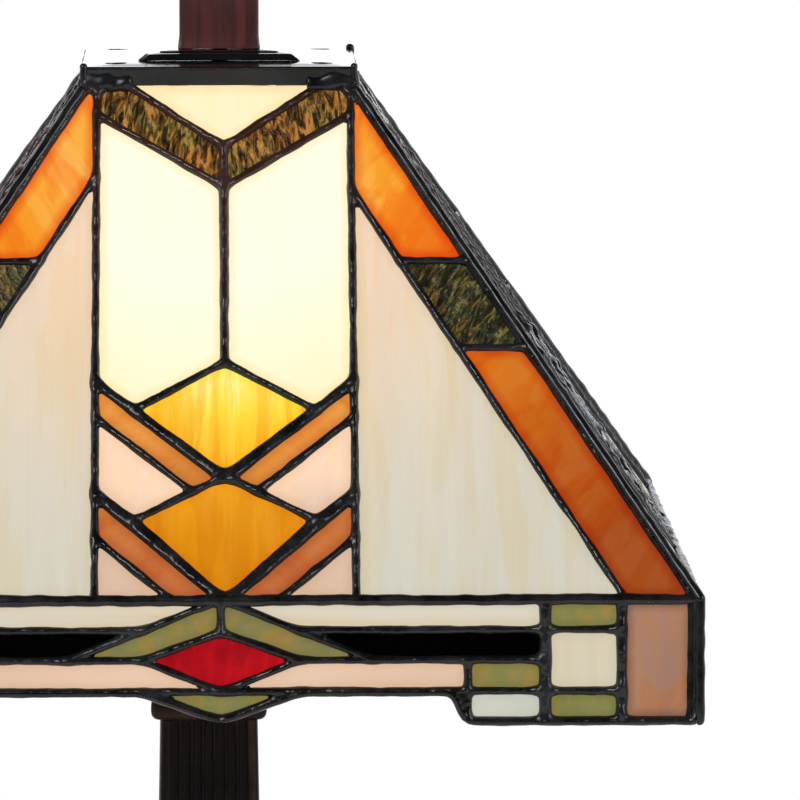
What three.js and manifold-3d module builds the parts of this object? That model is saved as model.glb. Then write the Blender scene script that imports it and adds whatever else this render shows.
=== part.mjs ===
// A table lamp with a square stained-glass shade: a fluted column on a stepped square foot, a screw-base bulb
// in a rotary-switch lampholder, a wire harp that carries the shade, and a square post finial that clamps it.
// Millimetres, +Z up. The origin is the centre of the underside of the foot; the front of the lamp faces -Y.
import * as THREE from "three";
import { mergeVertices } from "three/addons/utils/BufferGeometryUtils.js";
import Module from "manifold-3d";

const wasm = await Module();
wasm.setup();

// ---- Driving dimensions ----
const GAP = 0.3; // clearance between pieces that touch

const EAVE_Z = 378; // where the sloping panels meet the skirt
const EAVE_HALF = 160; // half the width of the shade at the eave, to the corner line
const CROWN_HALF = 46; // half the width of the shade under its top rim
const PANEL_RISE = 165; // height of a sloping panel
const SKIRT_DROP = 43; // depth of the skirt at its corners
const GLASS = 2.7; // thickness of the glass
const LEAD_PROUD = 1.2; // how far the leading stands above the glass
const LEAD_WIDTH = 3.3;
const SEAM_R = 2.4; // radius of the solder seams along the hips and corners
const SEAM_OUT = 0.6; // how far the middle of a seam stands outside the corner line
const SEAM_CLEAR = SEAM_R + GAP;

const RIM_Z = EAVE_Z + PANEL_RISE - GAP; // underside of the top rim
const RIM_HALF = 47.6;
const RIM_WALL = 5;
const RIM_HEIGHT = 5.6;
const CAP_Z = RIM_Z + RIM_HEIGHT + GAP;
const CAP_THICK = 1.2;
const VENT_R = 3.7; // a vent hole near each corner of the cap lets the bulb's heat out
const VENT_AT = 36; // its distance from both centre lines
const BOSS_Z = CAP_Z + CAP_THICK + GAP;
const BOSS_HALF = 28.5;
const BOSS_TOP_HALF = 25.6;
const BOSS_THICK = 2.2;
const STEP_HALF = 20.7; // the low step on the boss that the finial stands on
const STEP_RISE = 0.6;
const FINIAL_Z = BOSS_Z + BOSS_THICK + STEP_RISE + GAP;
const FINIAL_HALF = 13.95;
const LAMP_TOP = 600;

const TUBE_R = 5; // threaded tube that holds the lamp together
const TUBE_BORE = TUBE_R + 0.5; // hole in every piece that the tube passes through
const TUBE_BOTTOM = 4.3;

const FOOT_HALF = 84;
const FOOT_Z = 2.3;
const FOOT_TOP = 54;
const INLET_Z = 7.8; // height of the cable inlet in the back of the foot
const SHAFT_Z = 76.3;
const SHAFT_TOP = 315.2;
const SHAFT_HALF_FOOT = 21.5;
const SHAFT_HALF_TOP = 17.3;
const CAPITAL_TOP = 324;
const SADDLE_Z = 346;
const SOCKET_Z = 352;
const SOCKET_TOP = 420;
const SWITCH_Z = 377;
const CORE_TOP = 388;
const BULB_Z = 391.4;
const BULB_CAP_TOP = 416.7;
const BULB_R = 30;
const BULB_LENGTH = 110;
const HARP_LEG_X = 29; // half the distance between the legs of the harp
const HARP_WIRE_R = 2;
const HARP_LEAN = 4.2; // the harp leans, so its stud and the shade stand this far right of the column's axis
const STUD_R = 3;
const SEAT_TOP = CAP_Z - 0.4; // top of the harp's seat, just under the cap

// ---- Materials ----
const finish = (color, roughness, metalness) =>
  new THREE.MeshStandardMaterial({ color, roughness, metalness });
const MATERIALS = {
  dark: finish(0x2a1c18, 0.45, 0.5), // patinated casting
  rosewood: finish(0x43282a, 0.5, 0.2), // red-brown painted finial
  solder: finish(0x23262a, 0.35, 0.9), // blackened solder
  cap: finish(0x26282b, 0.3, 0.7), // blackened brass
  brass: finish(0xb08d48, 0.3, 1),
  steel: finish(0x9a9a9c, 0.4, 1),
  iron: finish(0x3a3a3c, 0.7, 0.8),
  felt: finish(0x1d2a20, 1, 0),
  plastic: finish(0x151515, 0.5, 0),
  card: finish(0x6b5a48, 0.9, 0),
  porcelain: finish(0xe8e4dc, 0.25, 0),
  bulbGlass: finish(0xfff4dc, 0.1, 0),
  creamGlass: finish(0xe8dcc0, 0.2, 0),
};

// ---- Building blocks ----
const point = (x, y) => new THREE.Vector2(x, y);

// A solid of revolution about Z. The profile lists [radius, z] with the material on its left.
function turned(profile, sides = 24, start = 0) {
  const points = profile.map(([r, z]) => point(r, z));
  return new THREE.LatheGeometry(points, sides, start, Math.PI * 2).rotateX(Math.PI / 2);
}

// The same profile carried round a square: each radius is half the width across the flats.
function squareTurned(profile) {
  const corners = profile.map(([half, z]) => [half * Math.SQRT2, z]);
  return turned(corners, 4, Math.PI / 4);
}

// A square-ended ring of wall from inner to outer radius.
const tubeProfile = (inner, outer, low, high) => [
  [inner, low],
  [outer, low],
  [outer, high],
  [inner, high],
  [inner, low],
];

// A flat plate from a closed outline, with an optional hole, standing from low to high in Z.
function plate(outline, low, high, holes = []) {
  const shape = new THREE.Shape(outline);
  shape.holes = holes.map((hole) => new THREE.Path(hole));
  const options = { depth: high - low, bevelEnabled: false, curveSegments: 12 };
  return new THREE.ExtrudeGeometry(shape, options).translate(0, 0, low);
}

const circle = (r, sides = 24) =>
  Array.from({ length: sides }, (_, i) => {
    const angle = (i / sides) * Math.PI * 2;
    return point(r * Math.cos(angle), r * Math.sin(angle));
  });

const rectangle = (halfX, halfY) => [
  point(-halfX, -halfY),
  point(halfX, -halfY),
  point(halfX, halfY),
  point(-halfX, halfY),
];
const square = (half) => rectangle(half, half);

// ---- Joining and cutting ----
function solid(geometry) {
  const bare = geometry.clone();
  bare.deleteAttribute("normal");
  bare.deleteAttribute("uv");
  const merged = mergeVertices(bare, 1e-4);
  const vertProperties = merged.attributes.position.array;
  const triVerts = new Uint32Array(merged.index.array);
  return new wasm.Manifold(new wasm.Mesh({ numProp: 3, vertProperties, triVerts }));
}

function geometryOf(manifold) {
  const mesh = manifold.getMesh();
  const geometry = new THREE.BufferGeometry();
  geometry.setAttribute("position", new THREE.BufferAttribute(mesh.vertProperties, 3));
  geometry.setIndex(new THREE.BufferAttribute(mesh.triVerts, 1));
  return geometry.toNonIndexed();
}

const joined = (...parts) => geometryOf(parts.map(solid).reduce((all, part) => all.add(part)));
const drilled = (body, ...drills) =>
  geometryOf(drills.map(solid).reduce((left, drill) => left.subtract(drill), solid(body)));

const upright = (r, low, high, sides = 24) =>
  new THREE.CylinderGeometry(r, r, high - low, sides).rotateX(Math.PI / 2).translate(0, 0, (low + high) / 2);

// A rod along Y from one end to the other, at height z.
const rodAlongY = (r, y0, y1, z, sides = 16) =>
  new THREE.CylinderGeometry(r, r, Math.abs(y1 - y0), sides).translate(0, (y0 + y1) / 2, z);

// ---- The scene graph ----
const lamp = new THREE.Group();

function add(name, geometry, material, parent = lamp) {
  const mesh = new THREE.Mesh(geometry, material);
  mesh.name = name;
  parent.add(mesh);
  return mesh;
}

// ---- Foot ----
const FOOT_BODY = [
  [FOOT_HALF, FOOT_Z],
  [FOOT_HALF, 14.5],
  [FOOT_HALF - 2, 16],
  [72, 16],
  [72, 22.5],
  [70.5, 24],
];
const SWEEP = { from: [61, 24], to: [33, 48], steps: 6 }; // hollow curve up to the collar
const CAVITY = [
  [24, 42],
  [34, 27],
  [54, 19.5],
  [66, 18.5],
  [66, 12],
  [77, 12],
  [77, FOOT_Z],
];

function sweepPoints({ from, to, steps }) {
  return Array.from({ length: steps + 1 }, (_, i) => {
    const angle = ((i / steps) * Math.PI) / 2;
    const half = to[0] + (from[0] - to[0]) * (1 - Math.sin(angle));
    return [half, from[1] + (to[1] - from[1]) * (1 - Math.cos(angle))];
  });
}

function foot() {
  const outer = [...FOOT_BODY, ...sweepPoints(SWEEP), [SWEEP.to[0], FOOT_TOP]];
  const profile = [...outer, [TUBE_BORE, FOOT_TOP], [TUBE_BORE, CAVITY[0][1]], ...CAVITY, outer[0]];
  return drilled(squareTurned(profile), rodAlongY(3.9, FOOT_HALF - 12, FOOT_HALF + 4, INLET_Z));
}

function weight() {
  return squareTurned([
    [TUBE_BORE, 9.5],
    [60, 9.5],
    [60, 17.5],
    [53.5, 18.9],
    [33.2, 26.4],
    [23.4, 41.7],
    [TUBE_BORE, 41.7],
    [TUBE_BORE, 9.5],
  ]);
}

function hexNut(across, low, high) {
  const outline = circle(across / 2 / Math.cos(Math.PI / 6), 6);
  return plate(outline, low, high, [circle(TUBE_BORE)]);
}

add("felt_pad", plate(square(80), 0, 2), MATERIALS.felt);
add("bottom_plate", plate(square(76.5), FOOT_Z + GAP, FOOT_Z + 1.5), MATERIALS.steel);
add("base_foot", foot(), MATERIALS.dark);
add("base_weight", weight(), MATERIALS.iron);
add("base_washer", turned(tubeProfile(TUBE_BORE, 12, 7.8, 9.2)), MATERIALS.steel);
add("base_nut", hexNut(17, TUBE_BOTTOM, 7.5), MATERIALS.steel);

// The cable inlet: a flanged bush pushed into the back of the foot.
const bush = add(
  "cable_inlet_bush",
  turned([
    [2.6, 0],
    [3.6, 0],
    [3.6, 8.4],
    [6, 8.4],
    [6, 9.6],
    [5, 10.6],
    [2.6, 10.6],
    [2.6, 0],
  ]),
  MATERIALS.plastic,
);
bush.position.set(0, FOOT_HALF - 8, INLET_Z);
bush.rotation.x = -Math.PI / 2;

// ---- Column ----
function plinth() {
  const low = FOOT_TOP + GAP;
  const high = SHAFT_Z - GAP;
  return squareTurned([
    [TUBE_BORE, low],
    [30, low],
    [30, low + 5],
    [28.4, low + 6.4],
    [26, low + 7],
    [25, low + 10],
    [25.6, low + 13],
    [27.2, low + 15],
    [27.2, low + 18],
    [25.5, low + 19.5],
    [23.6, high],
    [TUBE_BORE, high],
    [TUBE_BORE, low],
  ]);
}

// The outline of the shaft at its foot: flutes side by side on each face, between plain chamfered corners.
const FLUTES = 7;
const FLUTE_STEPS = 4;
const FLUTE_DEPTH = 1.5;
const FLUTE_BAND = 16.4; // half the width of the fluted part of a face
function flutedOutline() {
  const half = SHAFT_HALF_FOOT;
  const face = [point(-half + 2.6, -half), point(-FLUTE_BAND, -half)];
  const pitch = (2 * FLUTE_BAND) / FLUTES;
  for (let i = 0; i < FLUTES * FLUTE_STEPS; i++) {
    const along = (i + 1) / FLUTE_STEPS;
    const depth = FLUTE_DEPTH * Math.sin(Math.PI * (along % 1));
    face.push(point(-FLUTE_BAND + along * pitch, -half + depth));
  }
  face.push(point(half - 2.6, -half));
  const turn = (p, quarter) => p.clone().rotateAround(point(0, 0), (quarter * Math.PI) / 2);
  return [0, 1, 2, 3].flatMap((quarter) => face.map((p) => turn(p, quarter)));
}

function shaft() {
  const geometry = plate(flutedOutline(), SHAFT_Z, SHAFT_TOP);
  const position = geometry.attributes.position;
  for (let i = 0; i < position.count; i++) {
    const up = (position.getZ(i) - SHAFT_Z) / (SHAFT_TOP - SHAFT_Z);
    const scale = THREE.MathUtils.lerp(1, SHAFT_HALF_TOP / SHAFT_HALF_FOOT, up);
    position.setXY(i, position.getX(i) * scale, position.getY(i) * scale);
  }
  return drilled(geometry, upright(TUBE_BORE, SHAFT_Z - 1, SHAFT_TOP + 1));
}

function capital() {
  const low = SHAFT_TOP + GAP;
  return squareTurned([
    [TUBE_BORE, low],
    [18.2, low],
    [19.8, low + 1],
    [20.5, low + 3],
    [20.5, low + 5.2],
    [19.8, low + 7.2],
    [18.4, CAPITAL_TOP],
    [TUBE_BORE, CAPITAL_TOP],
    [TUBE_BORE, low],
  ]);
}

function neck() {
  const low = CAPITAL_TOP + GAP;
  return turned([
    [TUBE_BORE, low],
    [13, low],
    [13, low + 2.5],
    [9.4, low + 6],
    [8.2, low + 12],
    [9.4, low + 18],
    [11.5, SADDLE_Z - GAP],
    [TUBE_BORE, SADDLE_Z - GAP],
    [TUBE_BORE, low],
  ]);
}

add("column_plinth", plinth(), MATERIALS.dark);
add("column_shaft", shaft(), MATERIALS.dark);
add("column_capital", capital(), MATERIALS.dark);
add("column_neck", neck(), MATERIALS.dark);
add("threaded_tube", turned(tubeProfile(3.9, TUBE_R, TUBE_BOTTOM, SOCKET_Z + 4), 16), MATERIALS.steel);

// ---- Harp ----
const POST_TOP = 360;
const FERRULE_Z = 347.9;
const BEND_Z = 394; // the wire is straight up to here
const HARP_CROWN = SEAT_TOP - 3 - GAP - HARP_WIRE_R;
const HARP_PATH = [
  [29, 360.4],
  [29, 377],
  [29, BEND_Z],
  [38, 412],
  [50, 438],
  [54, 466],
  [50, 494],
  [38, 519],
  [20, 535.5],
]; // half of the bow, from the foot of a leg to near its top

function saddle() {
  const outline = rectangle(HARP_LEG_X + 4, 6);
  const strap = plate(outline, SADDLE_Z, SADDLE_Z + 1.5, [circle(TUBE_BORE)]);
  const post = (x) => upright(2.2, SADDLE_Z + 0.5, POST_TOP, 12).translate(x, 0, 0);
  return joined(strap, post(-HARP_LEG_X), post(HARP_LEG_X));
}

function bow() {
  const leaning = (x, z) => {
    const share = Math.max(0, (z - BEND_Z) / (HARP_CROWN - BEND_Z));
    return new THREE.Vector3(x + HARP_LEAN * share, 0, z);
  };
  const right = HARP_PATH.map(([x, z]) => leaning(x, z));
  const left = HARP_PATH.map(([x, z]) => leaning(-x, z)).reverse();
  const extrudePath = new THREE.CatmullRomCurve3([...right, leaning(0, HARP_CROWN), ...left]);
  return new THREE.ExtrudeGeometry(new THREE.Shape(circle(HARP_WIRE_R, 8)), { steps: 60, extrudePath });
}

function stud() {
  return turned([
    [0, SEAT_TOP - 3],
    [9, SEAT_TOP - 3],
    [9, SEAT_TOP],
    [STUD_R, SEAT_TOP],
    [STUD_R, SEAT_TOP + 18],
    [STUD_R - 0.8, SEAT_TOP + 19],
    [0, SEAT_TOP + 19],
  ]);
}

add("harp_saddle", saddle(), MATERIALS.brass);
add("saddle_nut", hexNut(16, SADDLE_Z + 1.8, SOCKET_Z - GAP), MATERIALS.brass);
add("harp_bow", bow(), MATERIALS.brass);
add("harp_stud", stud(), MATERIALS.brass).position.x = HARP_LEAN;
for (const [side, sign] of [
  ["left", -1],
  ["right", 1],
]) {
  const ferrule = add(`harp_ferrule_${side}`, turned(tubeProfile(2.6, 4.2, 0, 16), 16), MATERIALS.brass);
  ferrule.position.set(sign * HARP_LEG_X, 0, FERRULE_Z);
}

// ---- Lampholder with its rotary switch ----
const STEM_R = 2.2;
function socketCap() {
  return turned([
    [TUBE_BORE, SOCKET_Z],
    [9, SOCKET_Z],
    [9, SOCKET_Z + 3],
    [14, SOCKET_Z + 6],
    [17.5, SOCKET_Z + 11],
    [18.2, SOCKET_Z + 16],
    [16.9, SOCKET_Z + 16],
    [16.2, SOCKET_Z + 11.6],
    [13, SOCKET_Z + 7.5],
    [8, SOCKET_Z + 4.5],
    [TUBE_BORE, SOCKET_Z + 4.5],
    [TUBE_BORE, SOCKET_Z],
  ]);
}

function socketShell() {
  const low = SOCKET_Z + 16 + GAP;
  const wall = turned([
    [17.3, low],
    [18.5, low],
    [18.5, SOCKET_TOP - 7],
    [19.4, SOCKET_TOP - 5.5],
    [19.4, SOCKET_TOP - 3.5],
    [18.5, SOCKET_TOP - 2],
    [18.5, SOCKET_TOP],
    [17.3, SOCKET_TOP],
    [17.3, low],
  ]);
  return drilled(wall, rodAlongY(STEM_R + 0.5, -24, -12, SWITCH_Z));
}

function socketCore() {
  const core = turned([
    [0, SOCKET_Z + 17],
    [15.5, SOCKET_Z + 17],
    [15.5, CORE_TOP],
    [0, CORE_TOP],
  ]);
  return drilled(core, rodAlongY(STEM_R + 0.5, -18, -9, SWITCH_Z));
}

// Insulating sleeve between the shell and the live parts.
function socketLiner() {
  const wall = turned(tubeProfile(16, 16.8, SOCKET_Z + 17, SOCKET_TOP - 6));
  return drilled(wall, rodAlongY(STEM_R + 0.5, -24, -12, SWITCH_Z));
}

function knob() {
  const lobes = 10;
  const outline = Array.from({ length: lobes * 4 }, (_, i) => {
    const angle = (i / (lobes * 4)) * Math.PI * 2;
    const r = 6.4 + 0.5 * Math.cos(angle * lobes);
    return point(r * Math.cos(angle), r * Math.sin(angle));
  });
  return plate(outline, 0, 11);
}

add("socket_cap", socketCap(), MATERIALS.brass);
add("socket_shell", socketShell(), MATERIALS.brass);
add("socket_liner", socketLiner(), MATERIALS.card);
add("socket_core", socketCore(), MATERIALS.porcelain);
add("socket_screw_shell", turned(tubeProfile(13.8, 14.6, CORE_TOP + GAP, SOCKET_TOP - 8)), MATERIALS.brass);
add("socket_contact", upright(3, CORE_TOP + GAP, BULB_Z - 0.5, 12), MATERIALS.brass);
add("switch_stem", rodAlongY(STEM_R, -9.6, -33, SWITCH_Z), MATERIALS.brass);
const switchKnob = add("switch_knob", knob(), MATERIALS.plastic);
switchKnob.position.set(0, -33 - GAP, SWITCH_Z);
switchKnob.rotation.x = Math.PI / 2;

// ---- Bulb ----
// Outside of the envelope, from the neck to the crown: a flared neck running into a ball.
function envelopeCurve(offset) {
  const centre = BULB_Z + BULB_LENGTH - BULB_R;
  const flare = [
    [13, BULB_CAP_TOP + GAP],
    [13.6, BULB_CAP_TOP + 8],
    [17.2, BULB_CAP_TOP + 20],
    [23, BULB_CAP_TOP + 32],
  ];
  const ball = Array.from({ length: 8 }, (_, i) => {
    const angle = THREE.MathUtils.degToRad(-22 + i * 16);
    return [BULB_R * Math.cos(angle), centre + BULB_R * Math.sin(angle)];
  });
  ball[ball.length - 1][0] = 0;
  ball[ball.length - 1][1] = centre + BULB_R;
  return [...flare, ...ball].map(([r, z], i, all) => [
    Math.max(0, r - (i === all.length - 1 ? 0 : offset)),
    z - (i === all.length - 1 ? offset : 0),
  ]);
}

function screwCap() {
  const ridges = Array.from({ length: 12 }, (_, i) => [i % 2 ? 13.2 : 12.5, BULB_Z + 6.6 + i * 1.3]);
  const profile = [
    [0, BULB_Z + 2],
    [8, BULB_Z + 2],
    [12.3, BULB_Z + 5],
    ...ridges,
    [12.8, BULB_CAP_TOP],
    [0, BULB_CAP_TOP],
  ];
  return turned(profile, 20);
}

function contactButton() {
  const profile = [
    [0, BULB_Z],
    [4, BULB_Z],
    [8, BULB_Z + 1.7],
    [0, BULB_Z + 1.7],
  ];
  return turned(profile, 16);
}

function filament() {
  const stemTop = BULB_CAP_TOP + 34;
  const stem = turned(
    [
      [0, BULB_CAP_TOP + GAP],
      [5, BULB_CAP_TOP + GAP],
      [2.4, BULB_CAP_TOP + 12],
      [2.4, stemTop],
      [0, stemTop],
    ],
    10,
  );
  const wire = [-1, 1].map((sign) => new THREE.Vector3(sign * 13, 0, stemTop + 14));
  const loop = new THREE.CatmullRomCurve3([
    new THREE.Vector3(-1.2, 0, stemTop - 1),
    wire[0],
    new THREE.Vector3(0, 0, stemTop + 18),
    wire[1],
    new THREE.Vector3(1.2, 0, stemTop - 1),
  ]);
  const section = new THREE.Shape(circle(0.5, 6));
  return joined(stem, new THREE.ExtrudeGeometry(section, { steps: 24, extrudePath: loop }));
}

add("bulb_contact", contactButton(), MATERIALS.plastic);
add("bulb_screw_cap", screwCap(), MATERIALS.steel);
add("bulb_envelope", turned([...envelopeCurve(1).reverse(), ...envelopeCurve(0)]), MATERIALS.bulbGlass);
add("bulb_filament", filament(), MATERIALS.steel);

// ---- Shade: the leaded pattern ----
// One sloping panel. A node is [distance from the centre line, share of the way down from rim to eave].
const hipX = (down) => CROWN_HALF + (EAVE_HALF - CROWN_HALF) * down - 2.4; // outer edge of the border panes
const BORDER = 21.7; // width of the orange border, measured level
const bandX = (down) => hipX(down) - BORDER;
const atHipX = (x) => (x - hipX(0)) / (EAVE_HALF - CROWN_HALF); // how far down the border's edge is x out
const COLUMN = 44; // half the width of the upright middle column
const COLUMN_SHIFT = 1.5; // the middle column stands this far right of the centre line
const GREEN_TOP = 0.35; // the dark textured pane in each border
const GREEN_FOOT = 0.52;

const borderPane = (head, foot) => [
  [bandX(head), head],
  [hipX(head), head],
  [hipX(foot), foot],
  [bandX(foot), foot],
];

// The panes of one half of a panel. The nodes of the middle column are moved outwards by a distance.
function panelHalf(shift) {
  const column = COLUMN + shift;
  const start = atHipX(column);
  const band = atHipX(column + BORDER);
  const middle = (nodes) => nodes.map(([x, down]) => [x + shift, down]);
  return [
    [[column, start], [hipX(GREEN_TOP), GREEN_TOP], [bandX(GREEN_TOP), GREEN_TOP], [column, band]],
    borderPane(GREEN_TOP, GREEN_FOOT),
    borderPane(GREEN_FOOT, 1),
    [[column, band], [bandX(1), 1], [column, 1]],
    middle([[33.6, 0.01], [COLUMN, 0.01], [COLUMN, 0.059], [0, 0.204], [0, 0.124]]),
    middle([[0, 0.204], [COLUMN, 0.059], [COLUMN, 0.582], [30.6, 0.638], [0, 0.547]]),
    middle([[COLUMN, 0.588], [COLUMN, 0.653], [11, 0.795], [1.5, 0.771]]),
    middle([[COLUMN, 0.653], [COLUMN, 0.795], [30.6, 0.849], [11, 0.795]]),
    middle([[COLUMN, 0.803], [COLUMN, 0.882], [18, 1], [2, 1]]),
    middle([[COLUMN, 0.882], [COLUMN, 1], [18, 1]]),
  ];
}
const panelCentre = (shift) =>
  [
    [[-33.6, 0.01], [33.6, 0.01], [0, 0.124]],
    [[0, 0.547], [30.6, 0.638], [0, 0.765], [-30.6, 0.638]],
    [[0, 0.765], [30.6, 0.849], [0, 1], [-30.6, 0.849]],
  ].map((nodes) => nodes.map(([x, down]) => [x + shift, down]));

// One side of the skirt. A node is [distance from the centre line, depth below the eave].
const ROW = [0, 10.4, 20.6, 31.2, 41.8]; // the level leads
const STILE = [83, 109, 134.7, 157.6]; // the upright leads
const CHEVRON = 2.5; // the green chevron runs this far outwards for each step down
const SKIRT_HALF = [
  [[0, 0], [STILE[1], 0], [STILE[1], ROW[1]], [CHEVRON * ROW[1], ROW[1]]],
  [[CHEVRON * ROW[1], ROW[1]], [STILE[1], ROW[1]], [STILE[1], ROW[2]], [CHEVRON * ROW[2], ROW[2]]],
  [[0, 0], [CHEVRON * ROW[2], ROW[2]], [26.5, ROW[2]], [0, 11]],
  [[26.5, ROW[2]], [STILE[0], ROW[2]], [STILE[0], ROW[3]], [0, ROW[3]]],
  [[STILE[1], 0], [STILE[2], 0], [STILE[2], ROW[1]], [STILE[1], ROW[1]]],
  [[STILE[1], ROW[1]], [STILE[2], ROW[1]], [STILE[2], ROW[3]], [STILE[1], ROW[3]]],
  [[STILE[1], ROW[3]], [STILE[2], ROW[3]], [STILE[2], ROW[4]], [STILE[1], ROW[4]]],
  [[STILE[0], ROW[2]], [STILE[1], ROW[2]], [STILE[1], ROW[3]], [STILE[0], ROW[3]]],
  [[STILE[0], ROW[3]], [STILE[1], ROW[3]], [STILE[1], ROW[4]], [STILE[0], ROW[4]]],
  [[STILE[2], 0], [STILE[3], 0], [STILE[3], ROW[4]], [STILE[2], ROW[4]]],
];
const SKIRT_CENTRE = [
  [[0, 11], [26.5, ROW[2]], [0, ROW[3]], [-26.5, ROW[2]]],
  [[-26, ROW[3]], [26, ROW[3]], [0, 41]],
];

// The free lower edge of the skirt, right half, from the corner inwards.
const SKIRT_EDGE = [
  [EAVE_HALF - SEAM_CLEAR, SKIRT_DROP],
  [STILE[0] - 0.8, SKIRT_DROP],
  [STILE[0] - 3.6, ROW[3] + 1],
  [26, ROW[3] + 1],
  [0, SKIRT_DROP - 1.5],
];

const mirrored = (nodes) => nodes.map(([x, y]) => [-x, y]).reverse();
const everyPane = (right, left, centre) => [...right, ...left.map(mirrored), ...centre];

// Moves every edge of a convex outline inwards by a distance.
function inset(outline, distance) {
  const points = THREE.ShapeUtils.isClockWise(outline) ? [...outline].reverse() : outline;
  const edges = points.map((p, i) => {
    const along = points[(i + 1) % points.length].clone().sub(p).normalize();
    const inward = point(-along.y, along.x);
    return { from: p.clone().addScaledVector(inward, distance), along };
  });
  return edges.map((edge, i) => {
    const before = edges[(i + edges.length - 1) % edges.length];
    const between = edge.from.clone().sub(before.from);
    const share = between.cross(edge.along) / before.along.cross(edge.along);
    return before.from.clone().addScaledVector(before.along, share);
  });
}

const SLANT = Math.hypot(PANEL_RISE, EAVE_HALF - CROWN_HALF);
const onPanel = ([x, down]) => point(x, SLANT * (1 - down));
const onSkirt = ([x, drop]) => point(x, -drop);

// The trapezoid of a panel, kept clear of the seams at its hips, the skirt below it and the rim above it.
function panelOutline(footClear, headClear) {
  const slope = (EAVE_HALF - CROWN_HALF) / SLANT;
  const end = (up, side) => point(side * (EAVE_HALF - slope * up - SEAM_CLEAR * 1.28), up);
  const high = SLANT - headClear;
  return [end(footClear, -1), end(footClear, 1), end(high, 1), end(high, -1)];
}

// One side of the skirt, kept clear of the panel above it and of the seams at its corners.
function skirtOutline(topClear, sideClear) {
  const [corner, ...edge] = SKIRT_EDGE.map(onSkirt);
  const right = [point(corner.x - sideClear, -topClear), point(corner.x - sideClear, corner.y), ...edge];
  const left = right.slice(0, -1).map((p) => point(-p.x, p.y));
  return [...left, ...right.reverse()];
}

const windows = (panes, place) => panes.map((pane) => inset(pane.map(place), LEAD_WIDTH / 2));
const panelPanes = everyPane(panelHalf(COLUMN_SHIFT), panelHalf(-COLUMN_SHIFT), panelCentre(COLUMN_SHIFT));
const panelWindows = windows(panelPanes, onPanel);
const skirtWindows = windows(everyPane(SKIRT_HALF, SKIRT_HALF, SKIRT_CENTRE), onSkirt);

// The lattice of leading that lies over a sheet of glass: its outline pierced by every pane.
function leading(outline, openings) {
  const cutters = openings.map((opening) => plate(opening, -1, LEAD_PROUD + 1));
  return drilled(plate(outline, 0, LEAD_PROUD), ...cutters);
}

// ---- Shade: pieces of one side, then the four sides ----
const shade = new THREE.Group();
shade.position.x = HARP_LEAN;
lamp.add(shade);

function addSide(name, quarter) {
  const side = new THREE.Group();
  side.rotation.z = (quarter * Math.PI) / 2;
  shade.add(side);

  const slope = new THREE.Group();
  slope.position.set(0, -EAVE_HALF, EAVE_Z);
  slope.rotation.x = Math.atan2(PANEL_RISE, EAVE_HALF - CROWN_HALF);
  side.add(slope);
  const glass = plate(panelOutline(1.4, 0.9), -GLASS - GAP, -GAP);
  add(`panel_glass_${name}`, glass, MATERIALS.creamGlass, slope);
  const lead = leading(panelOutline(GAP, 1.6), panelWindows);
  add(`panel_leading_${name}`, lead, MATERIALS.solder, slope);

  const skirt = new THREE.Group();
  skirt.position.set(0, -EAVE_HALF, EAVE_Z);
  skirt.rotation.x = Math.PI / 2;
  side.add(skirt);
  add(`skirt_glass_${name}`, plate(skirtOutline(1.4, 0.4), -GLASS - GAP, -GAP), MATERIALS.creamGlass, skirt);
  add(`skirt_leading_${name}`, leading(skirtOutline(GAP, 0), skirtWindows), MATERIALS.solder, skirt);
}

function addCorner(name, quarter) {
  const corner = new THREE.Group();
  corner.rotation.z = (quarter * Math.PI) / 2;
  shade.add(corner);
  const cornerLine = (half, z) => new THREE.Vector3(half + SEAM_OUT, -half - SEAM_OUT, z);
  const foot = cornerLine(EAVE_HALF, EAVE_Z);
  const crown = cornerLine(CROWN_HALF, EAVE_Z + PANEL_RISE);
  const along = crown.clone().sub(foot);
  const length = along.length() - SEAM_R * 2.3;
  const bead = new THREE.CylinderGeometry(SEAM_R, SEAM_R, length, 10);
  const hip = add(`hip_seam_${name}`, bead, MATERIALS.solder, corner);
  hip.position.copy(foot).addScaledVector(along.normalize(), SEAM_R + length / 2);
  hip.quaternion.setFromUnitVectors(new THREE.Vector3(0, 1, 0), along);
  const seam = upright(SEAM_R, -SKIRT_DROP, -SEAM_R / 2, 10);
  add(`corner_seam_${name}`, seam, MATERIALS.solder, corner).position.copy(foot);
}

["front", "right", "back", "left"].forEach(addSide);
["front_right", "back_right", "back_left", "front_left"].forEach(addCorner);

add(
  "top_rim",
  plate(square(RIM_HALF), RIM_Z, RIM_Z + RIM_HEIGHT, [square(RIM_HALF - RIM_WALL)]),
  MATERIALS.cap,
  shade,
);

function capPlate() {
  const hole = (r, x, y) => upright(r, CAP_Z - 1, BOSS_Z).translate(x, y, 0);
  const vents = square(VENT_AT).map(({ x, y }) => hole(VENT_R, x, y));
  const sheet = plate(square(RIM_HALF), CAP_Z, CAP_Z + CAP_THICK);
  return drilled(sheet, hole(STUD_R + 1.4, 0, 0), ...vents);
}

function bossPlate() {
  const shoulder = BOSS_Z + BOSS_THICK;
  const top = shoulder + STEP_RISE;
  const body = squareTurned([
    [0, BOSS_Z],
    [BOSS_HALF, BOSS_Z],
    [BOSS_TOP_HALF, shoulder],
    [STEP_HALF, shoulder],
    [STEP_HALF, top],
    [0, top],
  ]);
  return drilled(body, upright(STUD_R + 1, BOSS_Z - 1, top + 1));
}
add("shade_cap", capPlate(), MATERIALS.cap, shade);
add("finial_boss", bossPlate(), MATERIALS.cap, shade);

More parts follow.
